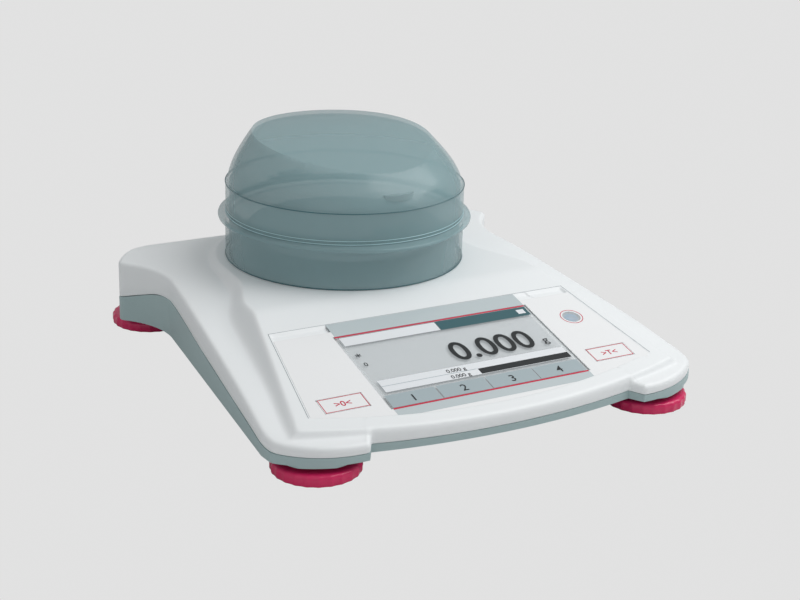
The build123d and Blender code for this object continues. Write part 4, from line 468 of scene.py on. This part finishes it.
    def floor(self) -> None:
        """Wide pale floor that the camera sees at the backdrop's own level."""
        half = self.floor_half
        corners = np.array([(-half, -half, 0), (half, -half, 0), (half, half, 0), (-half, half, 0)], float)
        floor = put_mesh("floor", corners, np.array([[0, 1, 2, 3]]), smooth=False)
        made = bpy.data.materials.new("pale_floor")
        made.use_nodes = True
        nodes, links = made.node_tree.nodes, made.node_tree.links
        grey = (self.floor_grey, self.floor_grey, self.floor_grey, 1)
        shader = set_inputs(nodes["Principled BSDF"], Base_Color=grey, Roughness=0.9, Specular_IOR_Level=0.1)
        seen = set_inputs(nodes.new("ShaderNodeEmission"), Color=self.backdrop_colour(), Strength=1.0)
        path = nodes.new("ShaderNodeLightPath")
        mix = nodes.new("ShaderNodeMixShader")
        out = nodes["Material Output"]
        links.new(path.outputs["Is Camera Ray"], mix.inputs["Fac"])
        links.new(shader.outputs["BSDF"], mix.inputs[1])
        links.new(seen.outputs["Emission"], mix.inputs[2])
        links.new(mix.outputs["Shader"], out.inputs["Surface"])
        floor.data.materials.append(made)


# Case


@dataclass
class CaseShape:
    """Named sizes of the case, and the heights worked out from them."""

    front_y: float = -110.4
    rear_y: float = 111.6
    half_width: float = 102.2
    deck_knots: tuple[Span, ...] = (
        (-126, 14.6), (-110, 16.3), (-95.4, 17.9), (-60, 24.2), (-15, 30.4),
        (35, 36.1), (70, 37.6), (88, 37.9), (130, 37.9),
    )
    roll_start: float = 88.0
    roll_radius: float = 40.0
    platform_z: float = PLATFORM_Z
    ridge_y: float = RIDGE_Y
    tilt: float = CONSOLE_TILT
    side_slope: float = 1.54
    arc_slope: float = 2.6
    shield_y: float = SHIELD_Y
    boss_radius: float = 61.8
    front_arc_radius: float = 306.4
    shoulder: Span = (72.2, -1.0)
    film_drop: float = 0.95
    level_drop: float = 7.5

    def outline(self) -> np.ndarray:
        """Plan outline, counter-clockwise from the front: arcs and lines, with softened corners.

        The right half runs along the front arc, round the pad over the foot, in at the waist, out over the
        flare to the tail, and round to the middle of the rear. The left half mirrors it.
        """
        half, front, rear = self.half_width, self.front_y, self.rear_y
        arc_x, arc_y = half - 39.9, front + 6.4
        pad_in = (arc_x + 3.7, front + 0.2)
        pad_mid = (half - 15.7, front + 4.0)
        pad_out = (half - 0.6, front + 14.8)
        widest = (half, front + 22.4)
        waist = (half - 14.7, rear - 66.6)
        flare = (half - 11.8, rear - 49.1)
        tail = (half - 0.8, rear - 34.6)
        tail_mid = (half - 13.8, rear - 17.1)
        rear_end = (half - 42.2, rear - 4.8)
        right = np.concatenate(
            [
                three_point_arc((0, front), (arc_x / 2, self.arc_y(arc_x / 2)), (arc_x, arc_y)),
                np.array([(arc_x, arc_y)]),
                three_point_arc(pad_in, pad_mid, pad_out),
                np.array([pad_out, widest]),
                three_point_arc(waist, flare, tail),
                three_point_arc(tail, tail_mid, rear_end),
                three_point_arc(rear_end, (rear_end[0] / 2, rear - 1.2), (0, rear)),
            ]
        )
        left = right[1:][::-1] * (-1, 1)
        loop = even_points(np.concatenate([right, [(0, rear)], left]), 4000)
        crisp = soften(loop, 0.7)
        round_corners = soften(loop, 2.4)
        keep = np.zeros(len(loop))
        for corner in (pad_out, tail):
            for side in (-1, 1):
                away = np.linalg.norm(loop - (side * corner[0], corner[1]), axis=1)
                keep = np.maximum(keep, 1 - smooth_step(away, 7.0, 12.0))
        return crisp * (1 - keep[:, None]) + round_corners * keep[:, None]

    def arc_y(self, x: float) -> float:
        """Front arc of the case at a sideways place."""
        return self.front_y + self.front_arc_radius - math.sqrt(self.front_arc_radius**2 - x**2)

    def deck(self, y: np.ndarray) -> np.ndarray:
        """Height of the wings: a smooth rise to the rear, then a roll-off of fixed radius."""
        past = np.clip(y - self.roll_start, 0, self.roll_radius * 0.9)
        return flowing(y, self.deck_knots) - (self.roll_radius - np.sqrt(self.roll_radius**2 - past**2))

    def slope(self, y: np.ndarray) -> np.ndarray:
        """Height of the console's plane."""
        return self.platform_z + (y - self.ridge_y) * math.tan(math.radians(self.tilt))

    def raised_loop(self) -> np.ndarray:
        """Plan outline, at platform height, of the console and its shoulders."""
        across, along = self.shoulder
        half = [(82.4, self.front_y - 40), self.shoulder, (57.8, 35.0)]
        corners = half + [(-x, y) for x, y in half[::-1]]
        loop = even_points(np.array(corners, float), 320)
        away = np.minimum(*(np.linalg.norm(loop - (hand * across, along), axis=1) for hand in (1, -1)))
        keep = (1 - smooth_step(away, 8.0, 14.0))[:, None]
        return loop * (1 - keep) + soften(loop, 4.0) * keep

    def film_loop(self) -> np.ndarray:
        """Plan outline of the printed film."""
        cosine = math.cos(math.radians(self.tilt))
        side = [(83.1, self.ridge_y - 77.0 * cosine), (74.2, self.ridge_y - 17.6 * cosine)]
        bow = three_point_arc((-side[0][0], side[0][1]), (0, self.ridge_y - 90.6 * cosine), side[0])
        return np.concatenate([bow, [side[0], side[1], (-side[1][0], side[1][1])]])

    def top(self, plan: np.ndarray) -> np.ndarray:
        """Height of the upper shell over plan points.

        The raised middle is the lower of the platform, the console's plane, a flank that falls away from the
        raised outline and a steep fall past the front arc. The shell is the higher of that and the wings. It
        dips a little under the film and deeper under the level.
        """
        x, y = plan[..., 0], plan[..., 1]
        roof = soft_min(np.full_like(y, self.platform_z), self.slope(y), 0.9)
        block = signed_distance(plan, self.raised_loop())
        boss = np.hypot(x, y - self.shield_y) - self.boss_radius
        outside = soft_min(block, boss, 9.0)
        flank = self.platform_z - self.side_slope * outside
        arc = np.hypot(x, y - self.front_y - self.front_arc_radius) - self.front_arc_radius
        middle = soft_min(soft_min(roof, flank, 2.2), roof - self.arc_slope * (arc + 0.4), 1.6)
        shell = soft_max(self.deck(y), middle, 3.4)
        film = signed_distance(plan, self.film_loop())
        down = (y - self.ridge_y) / math.cos(math.radians(self.tilt)) + LEVEL_DOWN
        level = np.hypot(x - LEVEL_ACROSS, down)
        shell = shell - self.film_drop * smooth_step(-film, 0.5, 1.9)
        return shell - self.level_drop * (1 - smooth_step(level, 4.4, 5.6))


@dataclass
class UpperShell:
    """Upper half of the case as one skin, from the pan's collar out to the parting line."""

    shape: CaseShape
    rays: int = 800
    rings: int = 92
    samples: int = 200
    begin: float = 12.0
    rim: float = 2.0
    lip: float = 2.0
    seam_knots: tuple[Span, ...] = (
        (-124, 11.7), (-110, 12.1), (-92, 13.4), (-73.5, 15.3), (-50, 17.3),
        (-22, 19.9), (0, 21.9), (20, 24.4), (40, 26.2), (50, 26.2),
        (60, 25.3), (69, 22.7), (78, 20.2), (92, 18.9), (124, 18.4),
    )

    def rays_out(self) -> tuple[np.ndarray, np.ndarray]:
        """Outline points, closer together at tight corners, and their inward directions."""
        loop = self.shape.outline()
        ahead = np.roll(loop, -1, 0) - loop
        turn = np.unwrap(np.arctan2(ahead[:, 1], ahead[:, 0]))
        bend = np.abs(np.gradient(turn)) / np.linalg.norm(ahead, axis=1)
        kernel = np.ones(41) / 41
        bend = np.convolve(np.concatenate([bend[-20:], bend, bend[:20]]), kernel, "valid")
        edge = even_points(loop, self.rays, 1 + 9 * np.minimum(bend, 0.35))
        along = np.roll(edge, -1, 0) - np.roll(edge, 1, 0)
        along /= np.linalg.norm(along, axis=1)[:, None]
        return edge, np.stack([-along[:, 1], along[:, 0]], -1)

    def seam(self, y: np.ndarray) -> np.ndarray:
        """Height of the parting line."""
        return flowing(y, self.seam_knots)

    def ray_places(self, unit: np.ndarray, length: np.ndarray) -> np.ndarray:
        """Plan points along rays from the collar to the rim, closer together where the height bends.

        Args:
            unit: Direction of each ray, (rays, 2).
            length: Distance from the post to the rim along each ray.

        Returns:
            Array of (rays, rings, 2).
        """
        centre = (0.0, self.shape.shield_y)
        radius = self.begin + (length[:, None] - self.begin) * np.linspace(0, 1, self.samples)
        height = self.shape.top(centre + unit[:, None, :] * radius[..., None])
        step = np.gradient(radius, axis=1)
        bend = np.abs(np.gradient(np.gradient(height, axis=1) / step, axis=1) / step)
        kernel = np.ones(5) / 5
        bend = np.apply_along_axis(lambda row: np.convolve(row, kernel, "same"), 1, np.minimum(bend, 1.5))
        bend = sum(np.roll(bend, k, 0) for k in range(-1, 2)) / 3
        weight = (0.22 + 0.6 * smooth_step(radius, 52, 62) + 6.0 * bend) * step
        along = np.cumsum(weight, axis=1)
        along = (along - along[:, :1]) / (along[:, -1:] - along[:, :1])
        want = np.linspace(0, 1, self.rings)
        picked = np.stack([np.interp(want, along[i], radius[i]) for i in range(self.rays)])
        return centre + unit[:, None, :] * picked[..., None]

    def edge_rings(self, edge: np.ndarray, inward: np.ndarray) -> list[np.ndarray]:
        """Rings of the rounded rim, the wall, and the lip at the parting line, from the top down."""
        rings = []
        for angle in np.radians((22.5, 45, 67.5, 90)):
            place = edge + inward * self.rim * (1 - math.sin(angle))
            top = self.shape.top(place) - self.rim * (1 - math.cos(angle))
            rings.append(np.column_stack([place, top]))
        foot = self.seam(edge[:, 1]) + 0.12
        wall_top = rings[-1][:, 2]
        for share in (0.35, 0.7):
            rings.append(np.column_stack([edge, wall_top + (foot + 0.35 - wall_top) * share]))
        for inset, lift in ((0, 0.35), (0.12, 0.1), (0.4, 0), (self.lip, 0), (self.lip, 3)):
            rings.append(np.column_stack([edge + inward * inset, foot + lift]))
        return rings

    def build(self) -> bpy.types.Object:
        """One skin: collar, platform, console and wings, then rim, wall and the lip at the parting line."""
        shape = self.shape
        edge, inward = self.rays_out()
        centre = np.array([0.0, shape.shield_y])
        reach = edge + inward * self.rim - centre
        length = np.linalg.norm(reach, axis=1)
        unit = reach / length[:, None]
        inner = self.ray_places(unit, length)
        inner_z = shape.top(inner)
        rings = [self.collar(unit, centre, point) for point in self.collar_profile()]
        rings += [np.concatenate([inner[:, k], inner_z[:, k, None]], 1) for k in range(self.rings)]
        rings += self.edge_rings(edge, inward)
        piece = put_grid("upper_shell", np.array(rings)[:, ::-1])
        Look.WHITE_SHELL.value.dress(piece)
        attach(piece, "case")
        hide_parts("upper_housing")
        return piece

    def collar_profile(self) -> list[Span]:
        """Radius and height of the spill collar round the pan post."""
        base = self.shape.platform_z
        top = base + 2.5
        return [
            (8.5, base - 2.2), (8.5, top - 0.5), (8.65, top - 0.15), (9.0, top), (9.8, top),
            (10.15, top - 0.15), (10.3, top - 0.5), (10.3, base + 0.4), (10.45, base + 0.1), (10.8, base),
        ]

    @staticmethod
    def collar(unit: np.ndarray, centre: np.ndarray, point: Span) -> np.ndarray:
        """Ring of places at one radius and height round the post."""
        radius, height = point
        place = centre + unit * radius
        return np.column_stack([place, np.full(len(place), height)])


# Frame nodes that keep their CAD shape


@dataclass
class FrameNodes:
    """CAD nodes whose shape is right, shown as smooth merged copies or with a better finish."""

    sharp_degrees: float = 32.0
    merge_distance: float = 1e-6

    def smooth_copy(self, node: str, body: str, look: Look) -> bpy.types.Object:
        """Merged copy of a CAD node with smooth shading that stops at sharp edges, in place of the node."""
        source = bpy.data.objects[node]
        mesh = source.data.copy()
        made = add_object(node + "_shown", mesh)
        work = bmesh.new()
        work.from_mesh(mesh)
        bmesh.ops.remove_doubles(work, verts=work.verts, dist=self.merge_distance)
        limit = math.radians(self.sharp_degrees)
        for edge in work.edges:
            edge.smooth = len(edge.link_faces) == 2 and edge.calc_face_angle(0.0) < limit
        for face in work.faces:
            face.smooth = True
        work.to_mesh(mesh)
        work.free()
        weighted = made.modifiers.new("even_normals", "WEIGHTED_NORMAL")
        weighted.keep_sharp = True
        look.value.dress(made)
        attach(made, body)
        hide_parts(node)
        return made

    def build(self, nodes: dict[str, bpy.types.Object]) -> None:
        """Dresses every CAD node that no new piece replaces."""
        plain = {
            "display_board": Look.BOARD, "key_boards": Look.BOARD, "main_board": Look.BOARD,
            "display_module": Look.MODULE, "key_switches": Look.BLACK, "load_cell": Look.ALUMINIUM,
            "load_cell_screws": Look.STEEL, "pan_carrier": Look.ALUMINIUM, "pan_support": Look.ALUMINIUM,
            "pan_bumpers": Look.RUBBER, "batteries": Look.JACKET, "battery_contacts": Look.STEEL,
            "weigh_below_hook": Look.STEEL, "calibration_switch": Look.BLACK, "dc_socket": Look.BLACK,
            "usb_port": Look.STEEL, "housing_screws": Look.STEEL, "board_screws": Look.STEEL,
            "lid_hinge_pin": Look.STEEL, "level_vial": Look.VIAL, "weighing_pan": Look.PAN,
        }
        for name, look in plain.items():
            look.value.dress(nodes[name])
        for foot in ("front_left", "front_right", "rear_left", "rear_right"):
            Look.RUBBER.value.dress(nodes["sole_" + foot])
            Look.STEEL.value.dress(nodes["stud_" + foot])
        copies = (
            ("lower_housing", "case", Look.GREY_SHELL, "grey_shell"),
            ("battery_cover", "cover", Look.GREY_SHELL, "grey_shell"),
            ("hook_cover", "hook_plug", Look.GREY_SHELL, "grey_shell"),
            ("transport_lock", "lock", Look.RED, "red_plastic"),
            ("control_overlay", "case", Look.FILM, "printed_film"),
            ("zero_key", "zero_button", Look.FILM, "printed_film"),
            ("tare_key", "tare_button", Look.FILM, "printed_film"),
            ("draft_shield_lid", "shield_lid", Look.SMOKE, "smoky_shield"),
            ("level_lens", "case", Look.VIAL, "clear_vial"),
            ("level_liquid", "case", Look.LIQUID, "level_liquid"),
        )
        for node, body, look, slot in copies:
            self.smooth_copy(node, body, look)


# Draft shield


@dataclass
class DraftShield:
    """Smoky ring with its grip flange, and fine lines of painted shade at the lid's crease and the ring's
    foot and of painted highlight along the lid's rims.
    """

    centre_y: float = SHIELD_Y
    segments: int = 240
    ring_radius: float = 56.4
    wall: float = 1.8
    bottom_z: float = PLATFORM_Z
    flange_z: float = 58.4
    flange_top: float = 60.3
    flange_radius: float = 59.8
    lip_reach: float = 2.8
    lip_radius: float = 46.0
    spigot_radius: float = 54.0
    spigot_wall: float = 1.4
    spigot_height: float = 3.2
    tab_height: float = 7.0
    tab_half: float = 12.0
    lid_radius: float = 56.2
    lid_bottom: float = 60.36
    crease_z: float = 75.0
    line_offset: float = 0.02

    def flange_reach(self, turn: np.ndarray) -> np.ndarray:
        """Outer radius of the flange: the larger of its circle and of a smaller circle set forward."""
        offset = self.flange_radius + self.lip_reach - self.lip_radius
        from_front = turn + np.pi / 2
        chord = self.lip_radius**2 - (offset * np.sin(from_front)) ** 2
        forward = offset * np.cos(from_front) + np.sqrt(np.maximum(chord, 0))
        return soft_max(np.full_like(turn, self.flange_radius), forward, 1.2)

    def ring(self) -> bpy.types.Object:
        """Closed wall: outside up to the flange, over it and the spigot, and down the inside."""
        turn = np.linspace(0, 2 * np.pi, self.segments, endpoint=False)
        r, inner_r = self.ring_radius, self.ring_radius - self.wall
        spigot, bore = self.spigot_radius, self.spigot_radius - self.spigot_wall
        low, high, bottom = self.flange_z, self.flange_top, self.bottom_z
        front = np.abs(spigot * np.cos(turn)) < self.tab_half
        tab = np.where(front & (np.sin(turn) < 0), high + self.tab_height, high + self.spigot_height)
        reach = self.flange_reach(turn)
        full = np.ones_like(turn)
        across, along = np.cos(turn), np.sin(turn)
        rows = [
            (r - 0.3, bottom), (r, bottom + 0.3), (r, low - 0.5), (r + 0.3, low),
            (reach - 0.6, low), (reach - 0.15, low + 0.2), (reach, low + 0.7),
            (reach, high - 0.7), (reach - 0.2, high - 0.2), (reach - 0.7, high),
            (spigot + 0.2, high), (spigot, high + 0.2), (spigot, tab - 0.3), (spigot - 0.3, tab),
            (bore + 0.3, tab), (bore, tab - 0.3), (bore, low),
            (inner_r, low), (inner_r, bottom + 0.3), (inner_r + 0.3, bottom),
        ]
        rings = [np.stack([a * across, self.centre_y + a * along, z * full], -1) for a, z in rows]
        piece = put_grid("shield_ring", np.array(rings)[:, ::-1], wrap_rows=True)
        Look.SMOKE.value.dress(piece)
        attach(piece, "shield_ring")
        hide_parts("draft_shield_ring")
        return piece

    def hoop(self, name: str, radius: float, z: float, half: float, look: Look, body: str) -> None:
        """Thin rounded hoop for a line of painted shade or painted highlight along a crease or rim: a small
        circle swept round the centre line.
        """
        angle = np.linspace(0, 2 * np.pi, 8, endpoint=False)
        profile = np.stack([radius + half * np.cos(angle), z + half * np.sin(angle)], -1)
        piece = put_grid(name, ring_grid(profile, (0, self.centre_y), self.segments), wrap_rows=True)
        look.value.dress(piece)
        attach(piece, body)

    def build(self) -> None:
        """Builds the ring, lines of painted shade at the lid's crease and the ring's foot, and lines of
        painted highlight along the lid's rims.
        """
        self.ring()
        lid = self.lid_radius + self.line_offset
        foot = self.ring_radius + self.line_offset
        # Painted shade along the lid's crease.
        self.hoop("lid_crease_shade", lid, self.crease_z, 0.22, Look.SHADE_LINE, "shield_lid")
        # Painted highlights along the lid's lower rim.
        self.hoop("lid_rim_highlight_low", lid, self.lid_bottom + 0.5, 0.22, Look.HIGHLIGHT_LINE, "shield_lid")
        self.hoop("lid_rim_highlight_high", lid, self.lid_bottom + 2.1, 0.16, Look.HIGHLIGHT_LINE, "shield_lid")
        # Painted shadow along the ring's foot where it stands on the platform.
        self.hoop("ring_foot_shadow", foot, self.bottom_z + 0.45, 0.2, Look.SHADE_LINE, "shield_ring")


# Feet


@dataclass
class Feet:
    """Scalloped thumbwheels under the four corners."""

    centres: tuple[Span, ...] = ((-80.2, -91.8), (80.2, -91.8), (-80.2, 91.4), (80.2, 91.4))
    names: tuple[str, ...] = ("front_left", "front_right", "rear_left", "rear_right")
    radius: float = 18.5
    bottom: float = 0.9
    top: float = 5.8
    scallops: int = 24
    depth: float = 0.3

    def wheel(self, name: str, centre: Span) -> bpy.types.Object:
        """Thumbwheel: a profile turned round, whose outer radius dips in a row of shallow round scallops.

        Each row of the profile is a radius, a height and the share of the scallops' dip that it takes.
        """
        turn = np.linspace(0, 2 * np.pi, self.scallops * 14, endpoint=False)
        phase = (turn * self.scallops / (2 * np.pi) + 0.5) % 1 - 0.5
        dip = self.depth * np.clip(1 - (phase / 0.42) ** 2, 0, 1)
        r = self.radius
        low, high = self.bottom, self.top
        rows = [
            (2.06, 1.7, 0), (13.4, 1.7, 0), (13.4, 1.1, 0), (13.6, 0.9, 0),
            (r - 0.9, low, 1), (r - 0.25, low + 0.25, 1), (r, low + 0.9, 1),
            (r, high - 1.5, 1), (r - 0.15, high - 0.85, 1), (r - 0.5, high - 0.4, 1),
            (r - 1.0, high - 0.1, 1), (r - 1.8, high, 0.6), (r - 3.2, high, 0),
            (7.2, high, 0), (6.6, high + 0.1, 0), (6.4, high + 0.6, 0),
            (3.0, high + 0.6, 0), (3.0, 3.2, 0), (2.06, 3.2, 0),
        ]
        full = np.ones_like(turn)
        rings = []
        for radius, z, share in rows:
            a = radius * full - dip * share
            rings.append(np.stack([centre[0] + a * np.cos(turn), centre[1] + a * np.sin(turn), z * full], -1))
        piece = put_grid("thumbwheel_" + name, np.array(rings), wrap_rows=True)
        Look.RED.value.dress(piece)
        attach(piece, "thumbwheel_" + name)
        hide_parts("wheel_" + name)
        return piece

    def build(self) -> None:
        """Builds the four wheels."""
        for name, centre in zip(self.names, self.centres):
            self.wheel(name, centre)


# Display


@dataclass
class ScaleDisplay:
    """Screen face and everything printed or shown on the console, as thin plates on its plane.

    Places on the console are x across and d down the slope from the ridge, in millimetres.
    """

    ridge_y: float = RIDGE_Y
    platform_z: float = PLATFORM_Z
    tilt: float = CONSOLE_TILT
    letter_weight: float = 0.012
    bars: tuple = (
        ("line_top", (-48, 47.3), (27.6, 28.5), Look.INK_RED, 0.04),
        ("title_tab", (-46.4, 0), (29.1, 35.2), Look.INK_WHITE, 0.04),
        ("header_band", (0.3, 46.8), (28.8, 35.4), Look.INK_TEAL, 0.04),
        ("header_mark", (41.4, 45.2), (30.4, 33.6), Look.INK_WHITE, 0.06),
        ("info_band", (-45, 46), (62.0, 70.2), Look.INK_WHITE, 0.04),
        ("level_bar", (0.7, 46), (66.2, 70.0), Look.INK_DARK, 0.06),
        ("row_rule", (-45, 0.2), (66.0, 66.3), Look.INK_GREY, 0.06),
    )
    labels: tuple = (
        ("reading", "0.000", -4.6, 58.4, 18.6, 0.05),
        ("unit", "g", 40.2, 57.2, 6.4, 0.05),
        ("stable_mark", "*", -45.4, 46.0, 6.0, 0.05),
        ("centre_mark", "0", -44.8, 51.0, 3.6, 0.05),
        ("row_a", "0.000 g", -13.5, 65.4, 3.2, 0.08),
        ("row_b", "0.000 g", -13.5, 69.6, 3.2, 0.08),
    )
    soft_keys: tuple[float, ...] = (-35.5, -11.7, 11.9, 35.4)
    soft_key_half: float = 11.5

    def on_plane(self, x: np.ndarray, d: np.ndarray, lift: float) -> np.ndarray:
        """Places on the console at x and d, lifted off its surface."""
        t = math.radians(self.tilt)
        y = self.ridge_y - d * math.cos(t) - lift * math.sin(t)
        z = self.platform_z - d * math.sin(t) + lift * math.cos(t)
        return np.stack([x + 0 * y, y, z], -1)

    def plate(
        self, name: str, points: Sequence[Span], lift: float, look: Look, body: str = "case",
        faces: Sequence[Sequence[int]] = ((0, 1, 2, 3),),
    ) -> bpy.types.Object:
        """Flat plate with the given points (x, d), counter-clockwise from above."""
        pts = np.array(points, float)
        piece = put_mesh(name, self.on_plane(pts[:, 0], pts[:, 1], lift), np.array(faces), smooth=False)
        look.value.dress(piece)
        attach(piece, body)
        return piece

    def bar(self, name: str, x: Span, d: Span, look: Look, lift: float = 0.04) -> bpy.types.Object:
        """Printed bar between two sideways places and two distances down the slope."""
        return self.plate(name, [(x[0], d[1]), (x[1], d[1]), (x[1], d[0]), (x[0], d[0])], lift, look)

    def key_outline(self, name: str, x: Span, d: Span, width: float, body: str) -> None:
        """Rectangular red line as one flat ring of four-sided faces."""
        out = [(x[0], d[1]), (x[1], d[1]), (x[1], d[0]), (x[0], d[0])]
        inn = [(x[0] + width, d[1] - width), (x[1] - width, d[1] - width)]
        inn += [(x[1] - width, d[0] + width), (x[0] + width, d[0] + width)]
        faces = [(i, (i + 1) % 4, 4 + (i + 1) % 4, 4 + i) for i in range(4)]
        self.plate(name, out + inn, 0.03, Look.INK_RED, body, faces)

    def words(
        self, name: str, text: str, x: float, d: float, size: float, lift: float,
        look: Look = Look.INK_DARK, body: str = "case",
    ) -> None:
        """Flat text whose lower left corner is at x and d, made a mesh before it is laid on the slope."""
        curve = bpy.data.curves.new(name, "FONT")
        curve.body = text
        curve.size = size
        curve.offset = self.letter_weight * size
        holder = add_object(name + "_curve", curve)
        shown = holder.evaluated_get(bpy.context.evaluated_depsgraph_get())
        mesh = bpy.data.meshes.new_from_object(shown)
        bpy.data.objects.remove(holder)
        flat = np.empty(len(mesh.vertices) * 3)
        mesh.vertices.foreach_get("co", flat)
        flat = flat.reshape(-1, 3)
        places = self.on_plane(x + flat[:, 0], d - flat[:, 1], lift) * MM
        mesh.vertices.foreach_set("co", places.astype(np.float32).ravel())
        mesh.update()
        mesh.name = name
        piece = add_object(name, mesh)
        look.value.dress(piece)
        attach(piece, body)

    def face(self) -> None:
        """Screen face with its bars, figures and key strip."""
        face = self.bar("screen_face", (-47.5, 47.5), (27.3, 81.3), Look.SCREEN, 0.02)
        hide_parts("display_window")
        for name, x, d, look, lift in self.bars:
            self.bar(name, x, d, look, lift)
        half = self.soft_key_half
        for number, x in enumerate(self.soft_keys):
            self.bar(f"soft_key_{number}", (x - half, x + half), (72.2, 80.6), Look.INK_GREY)
            self.words(f"soft_number_{number}", str(number + 1), x - 1.6, 78.6, 6.0, 0.07)
        self.bar("line_bottom", (-47.4, 47.3), (80.9, 81.8), Look.INK_RED, 0.06)
        for name, text, x, d, size, lift in self.labels:
            self.words(name, text, x, d, size, lift)

    def panel(self) -> None:
        """Grey field round the screen, film edges, key outlines with their marks, and the level's ring."""
        self.bar("field_above", (-47.5, 47.5), (18.0, 27.3), Look.PANEL, 0.02)
        self.bar("field_below", (-47.5, 47.5), (81.3, 87.0), Look.PANEL, 0.02)
        for hand, name in ((-1, "film_side_left"), (1, "film_side_right")):
            edge = [(83.1, 77.0), (82.8, 77.0), (73.9, 17.7), (74.2, 17.7)]
            corners = [(hand * x, d) for x, d in (edge if hand < 0 else edge[::-1])]
            self.plate(name, corners, 0.03, Look.EDGE)
        self.bar("film_top", (-74.2, 74.2), (17.6, 17.85), Look.EDGE, 0.03)
        self.key_outline("zero_outline", (-74.8, -55.2), (67.2, 76.2), 0.35, "zero_button")
        self.key_outline("tare_outline", (55.2, 74.8), (67.2, 76.2), 0.35, "tare_button")
        self.words("zero_symbol", ">0<", -69.2, 73.4, 4.6, 0.03, Look.INK_RED, "zero_button")
        self.words("tare_symbol", ">T<", 60.6, 73.4, 4.6, 0.03, Look.INK_RED, "tare_button")
        turn = np.linspace(0, 2 * np.pi, 96, endpoint=False)
        across, down = np.cos(turn), np.sin(turn)
        rings = [self.on_plane(LEVEL_ACROSS + r * across, LEVEL_DOWN + r * down, 0.05) for r in (5.35, 5.0)]
        ring = put_grid("level_outline", np.array(rings))
        Look.INK_RED.value.dress(ring)
        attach(ring, "case")

    def build(self) -> None:
        """Builds the face of the screen and the printed panel."""
        self.face()
        self.panel()


def main() -> None:
    """Builds the studio and every piece in order."""
    logging.basicConfig(level=logging.INFO, format="%(name)s: %(message)s")
    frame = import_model()
    Studio().build()
    LOG.info("studio ready")
    shape = CaseShape()
    shell = UpperShell(shape).build()
    LOG.info("upper shell: %d faces", len(shell.data.polygons))
    FrameNodes().build(frame["nodes"])
    LOG.info("frame nodes dressed")
    DraftShield().build()
    LOG.info("draft shield built")
    Feet().build()
    LOG.info("feet built")
    ScaleDisplay().build()
    LOG.info("display built")


if __name__ == "__main__":
    main()
